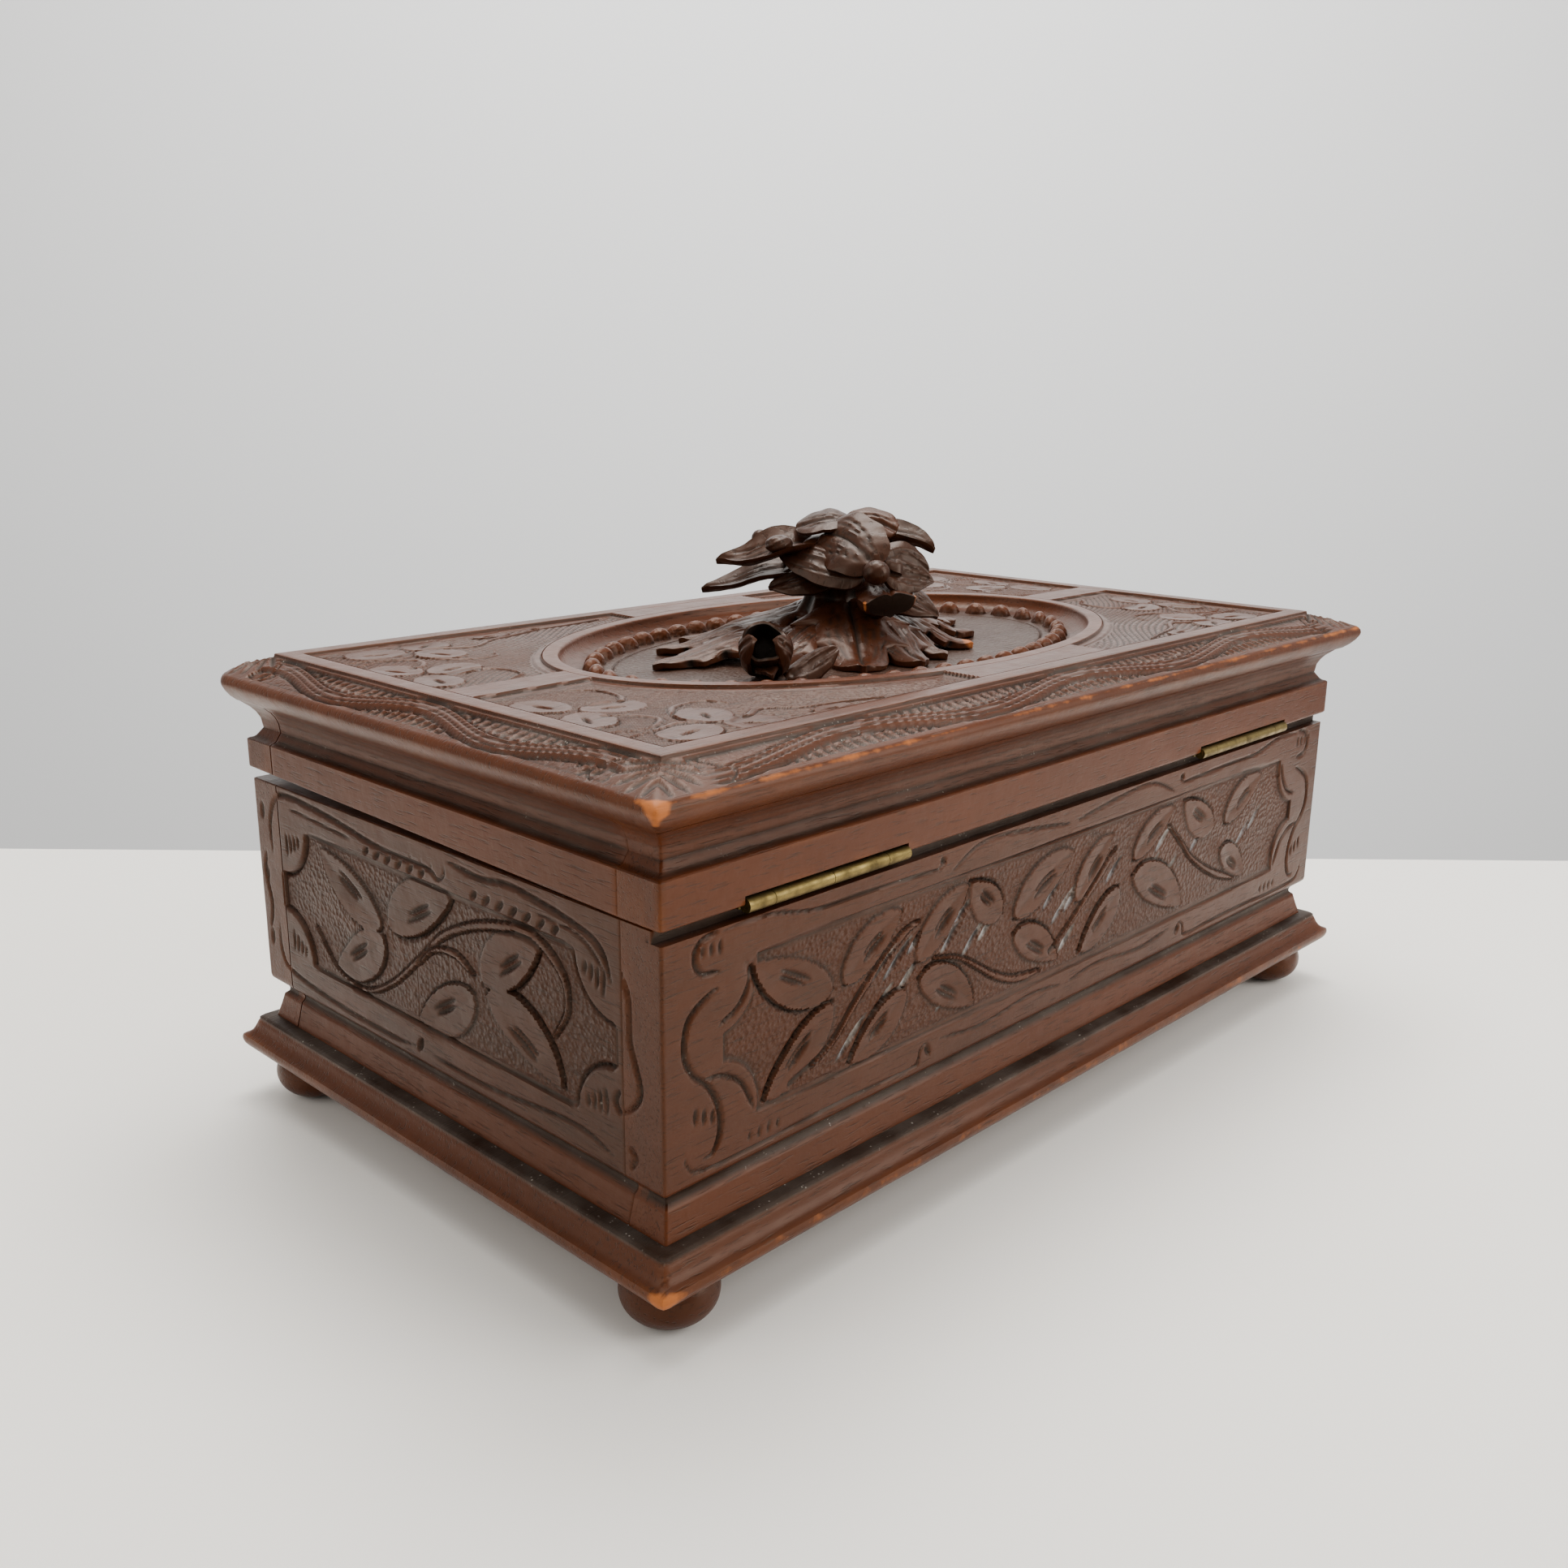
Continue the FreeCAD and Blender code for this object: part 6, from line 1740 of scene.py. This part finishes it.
def build_stage():
    """The floor, the backdrop, the lights and the camera."""
    settings = stage_of()
    heading = settings.turn
    ahead = Vector((-math.sin(heading), math.cos(heading), 0))
    floor_width, floor_depth, floor_end = 5.0, 2.2, 0.165
    bpy.ops.mesh.primitive_plane_add(size=1, location=ahead * (floor_end - floor_depth / 2),
                                     rotation=(0, 0, heading))
    floor = bpy.context.object
    floor.name = "floor"
    floor.scale = (floor_width, floor_depth, 1)
    bpy.ops.mesh.primitive_plane_add(size=4, location=ahead * 1.0 + Vector((0, 0, 0.4)),
                                     rotation=(math.pi / 2, 0, heading))
    wall = bpy.context.object
    wall.name = "backdrop"
    for thing, name in ((floor, "Pale floor"), (wall, "Pale backdrop")):
        bpy.ops.object.select_all(action="DESELECT")
        thing.select_set(True)
        bpy.context.view_layer.objects.active = thing
        bpy.ops.object.transform_apply(location=True, rotation=True, scale=True)
        thing.data.materials.append(look(name))
    side = Vector((ahead.y, -ahead.x, 0))
    power = settings.key_power
    lamp("overhead_light", ahead * 0.05 + Vector((0, 0, 1.05)), 0.9, power)
    lamp("left_light", -side * 0.85 - ahead * 0.45 + Vector((0, 0, 0.55)), 0.7, power * 0.28)
    lamp("right_light", side * 0.9 - ahead * 0.25 + Vector((0, 0, 0.5)), 0.7, power * 0.75)
    lamp("backdrop_light", ahead * 0.45 + Vector((0, 0, 1.3)), 0.8, power * 1.7,
         ahead * 1.0 + Vector((0, 0, 0.25)))
    world = bpy.data.worlds.new("Soft light")
    world.use_nodes = True
    sky = world.node_tree.nodes["Background"].inputs
    sky["Color"].default_value = (1.0, 0.985, 0.96, 1)
    sky["Strength"].default_value = 0.5
    bpy.context.scene.world = world
    bpy.ops.object.camera_add(location=settings.camera_place)
    camera = bpy.context.object
    camera.name = "camera"
    camera.matrix_world = (Matrix.Translation(settings.camera_place)
                           @ Matrix.Rotation(settings.turn, 4, "Z")
                           @ Matrix.Rotation(math.pi / 2 + settings.tilt, 4, "X")
                           @ Matrix.Rotation(settings.roll, 4, "Z"))
    camera.data.lens = settings.lens
    camera.data.sensor_width = 36
    camera.data.clip_start = 0.01
    bpy.context.scene.camera = camera


# ------------------------------------------------------------------ operators
class JEWEL_OT_cad_looks(bpy.types.Operator):
    """Give the plain fittings their materials"""

    bl_idname = "jewel.cad_looks"
    bl_label = "Fittings' materials"

    def execute(self, context):
        dress_cad_nodes()
        return {"FINISHED"}


class JEWEL_OT_carcass(bpy.types.Operator):
    """Build the four carved boards of the box"""

    bl_idname = "jewel.carcass"
    bl_label = "Carved boards"

    def execute(self, context):
        for side in (1, -1):
            carcass_board(side, look("Carved wood"))
            end_board(side, look("Carved end wood"))
        return {"FINISHED"}


class JEWEL_OT_base(bpy.types.Operator):
    """Build the base board and the four feet"""

    bl_idname = "jewel.base"
    bl_label = "Base and feet"

    def execute(self, context):
        base_moulding(look("Base wood"))
        for end in (1, -1):
            for side in (1, -1):
                foot(end, side, look("Base wood"))
        return {"FINISHED"}


class JEWEL_OT_lid_frame(bpy.types.Operator):
    """Build the four rails of the lid"""

    bl_idname = "jewel.lid_frame"
    bl_label = "Lid frame"

    def execute(self, context):
        for side in (1, -1):
            lid_rail(side, look("Lid wood"))
            lid_end_rail(side, look("Lid end wood"))
        return {"FINISHED"}


class JEWEL_OT_lid_top(bpy.types.Operator):
    """Build the carved top of the lid"""

    bl_idname = "jewel.lid_top"
    bl_label = "Lid top"

    def execute(self, context):
        lid_moulding(look("Lid top wood"))
        for end in (1, -1):
            for side in (1, -1):
                lid_quarter(end, side, look("Lid top wood"))
        oval_dish(look("Lid top wood"))
        return {"FINISHED"}


class JEWEL_OT_finial(bpy.types.Operator):
    """Build the foliage finial"""

    bl_idname = "jewel.finial"
    bl_label = "Finial"

    def execute(self, context):
        build_finial(look("Foliage wood"))
        return {"FINISHED"}


class JEWEL_OT_velvet(bpy.types.Operator):
    """Build the velvet pads and the wall linings"""

    bl_idname = "jewel.velvet"
    bl_label = "Velvet"

    def execute(self, context):
        puffed_pad("floor_pad", "carcass", look("Velvet"))
        puffed_pad("lid_pad", "lid", look("Velvet"))
        for side in ("back", "front", "left", "right"):
            wall_lining(f"lining_{side}", look("Velvet"))
        return {"FINISHED"}


class JEWEL_OT_stage(bpy.types.Operator):
    """Set out the floor, the lights and the camera"""

    bl_idname = "jewel.stage"
    bl_label = "Stage"

    def execute(self, context):
        build_stage()
        return {"FINISHED"}


class JEWEL_PT_panel(bpy.types.Panel):
    """Buttons and settings of the jewellery box"""

    bl_label = "Jewellery box"
    bl_idname = "JEWEL_PT_panel"
    bl_space_type = "VIEW_3D"
    bl_region_type = "UI"
    bl_category = "Jewellery box"

    def draw(self, context):
        for operator in OPERATORS:
            self.layout.operator(operator.bl_idname)
        for name in SETTINGS:
            box = self.layout.box()
            group = getattr(context.scene, name)
            for key in group.bl_rna.properties.keys():
                if key not in ("rna_type", "name"):
                    box.prop(group, key)


OPERATORS = (JEWEL_OT_cad_looks, JEWEL_OT_carcass, JEWEL_OT_base, JEWEL_OT_lid_frame,
             JEWEL_OT_lid_top, JEWEL_OT_finial, JEWEL_OT_velvet, JEWEL_OT_stage)
SETTINGS = {"jewel_carving": CarvingSettings, "jewel_finish": FinishSettings,
            "jewel_stage": StageSettings}


def register():
    """Adds the settings, the operators and the panel."""
    for kind in (*SETTINGS.values(), *OPERATORS, JEWEL_PT_panel):
        bpy.utils.register_class(kind)
    for name, kind in SETTINGS.items():
        setattr(bpy.types.Scene, name, PointerProperty(type=kind))


def unregister():
    """Takes them away again."""
    for name in SETTINGS:
        delattr(bpy.types.Scene, name)
    for kind in (JEWEL_PT_panel, *reversed(OPERATORS), *SETTINGS.values()):
        bpy.utils.unregister_class(kind)


def main():
    """Builds everything in order."""
    register()
    for operator in OPERATORS:
        group, name = operator.bl_idname.split(".")
        getattr(getattr(bpy.ops, group), name)()


if __name__ == "__main__":
    main()
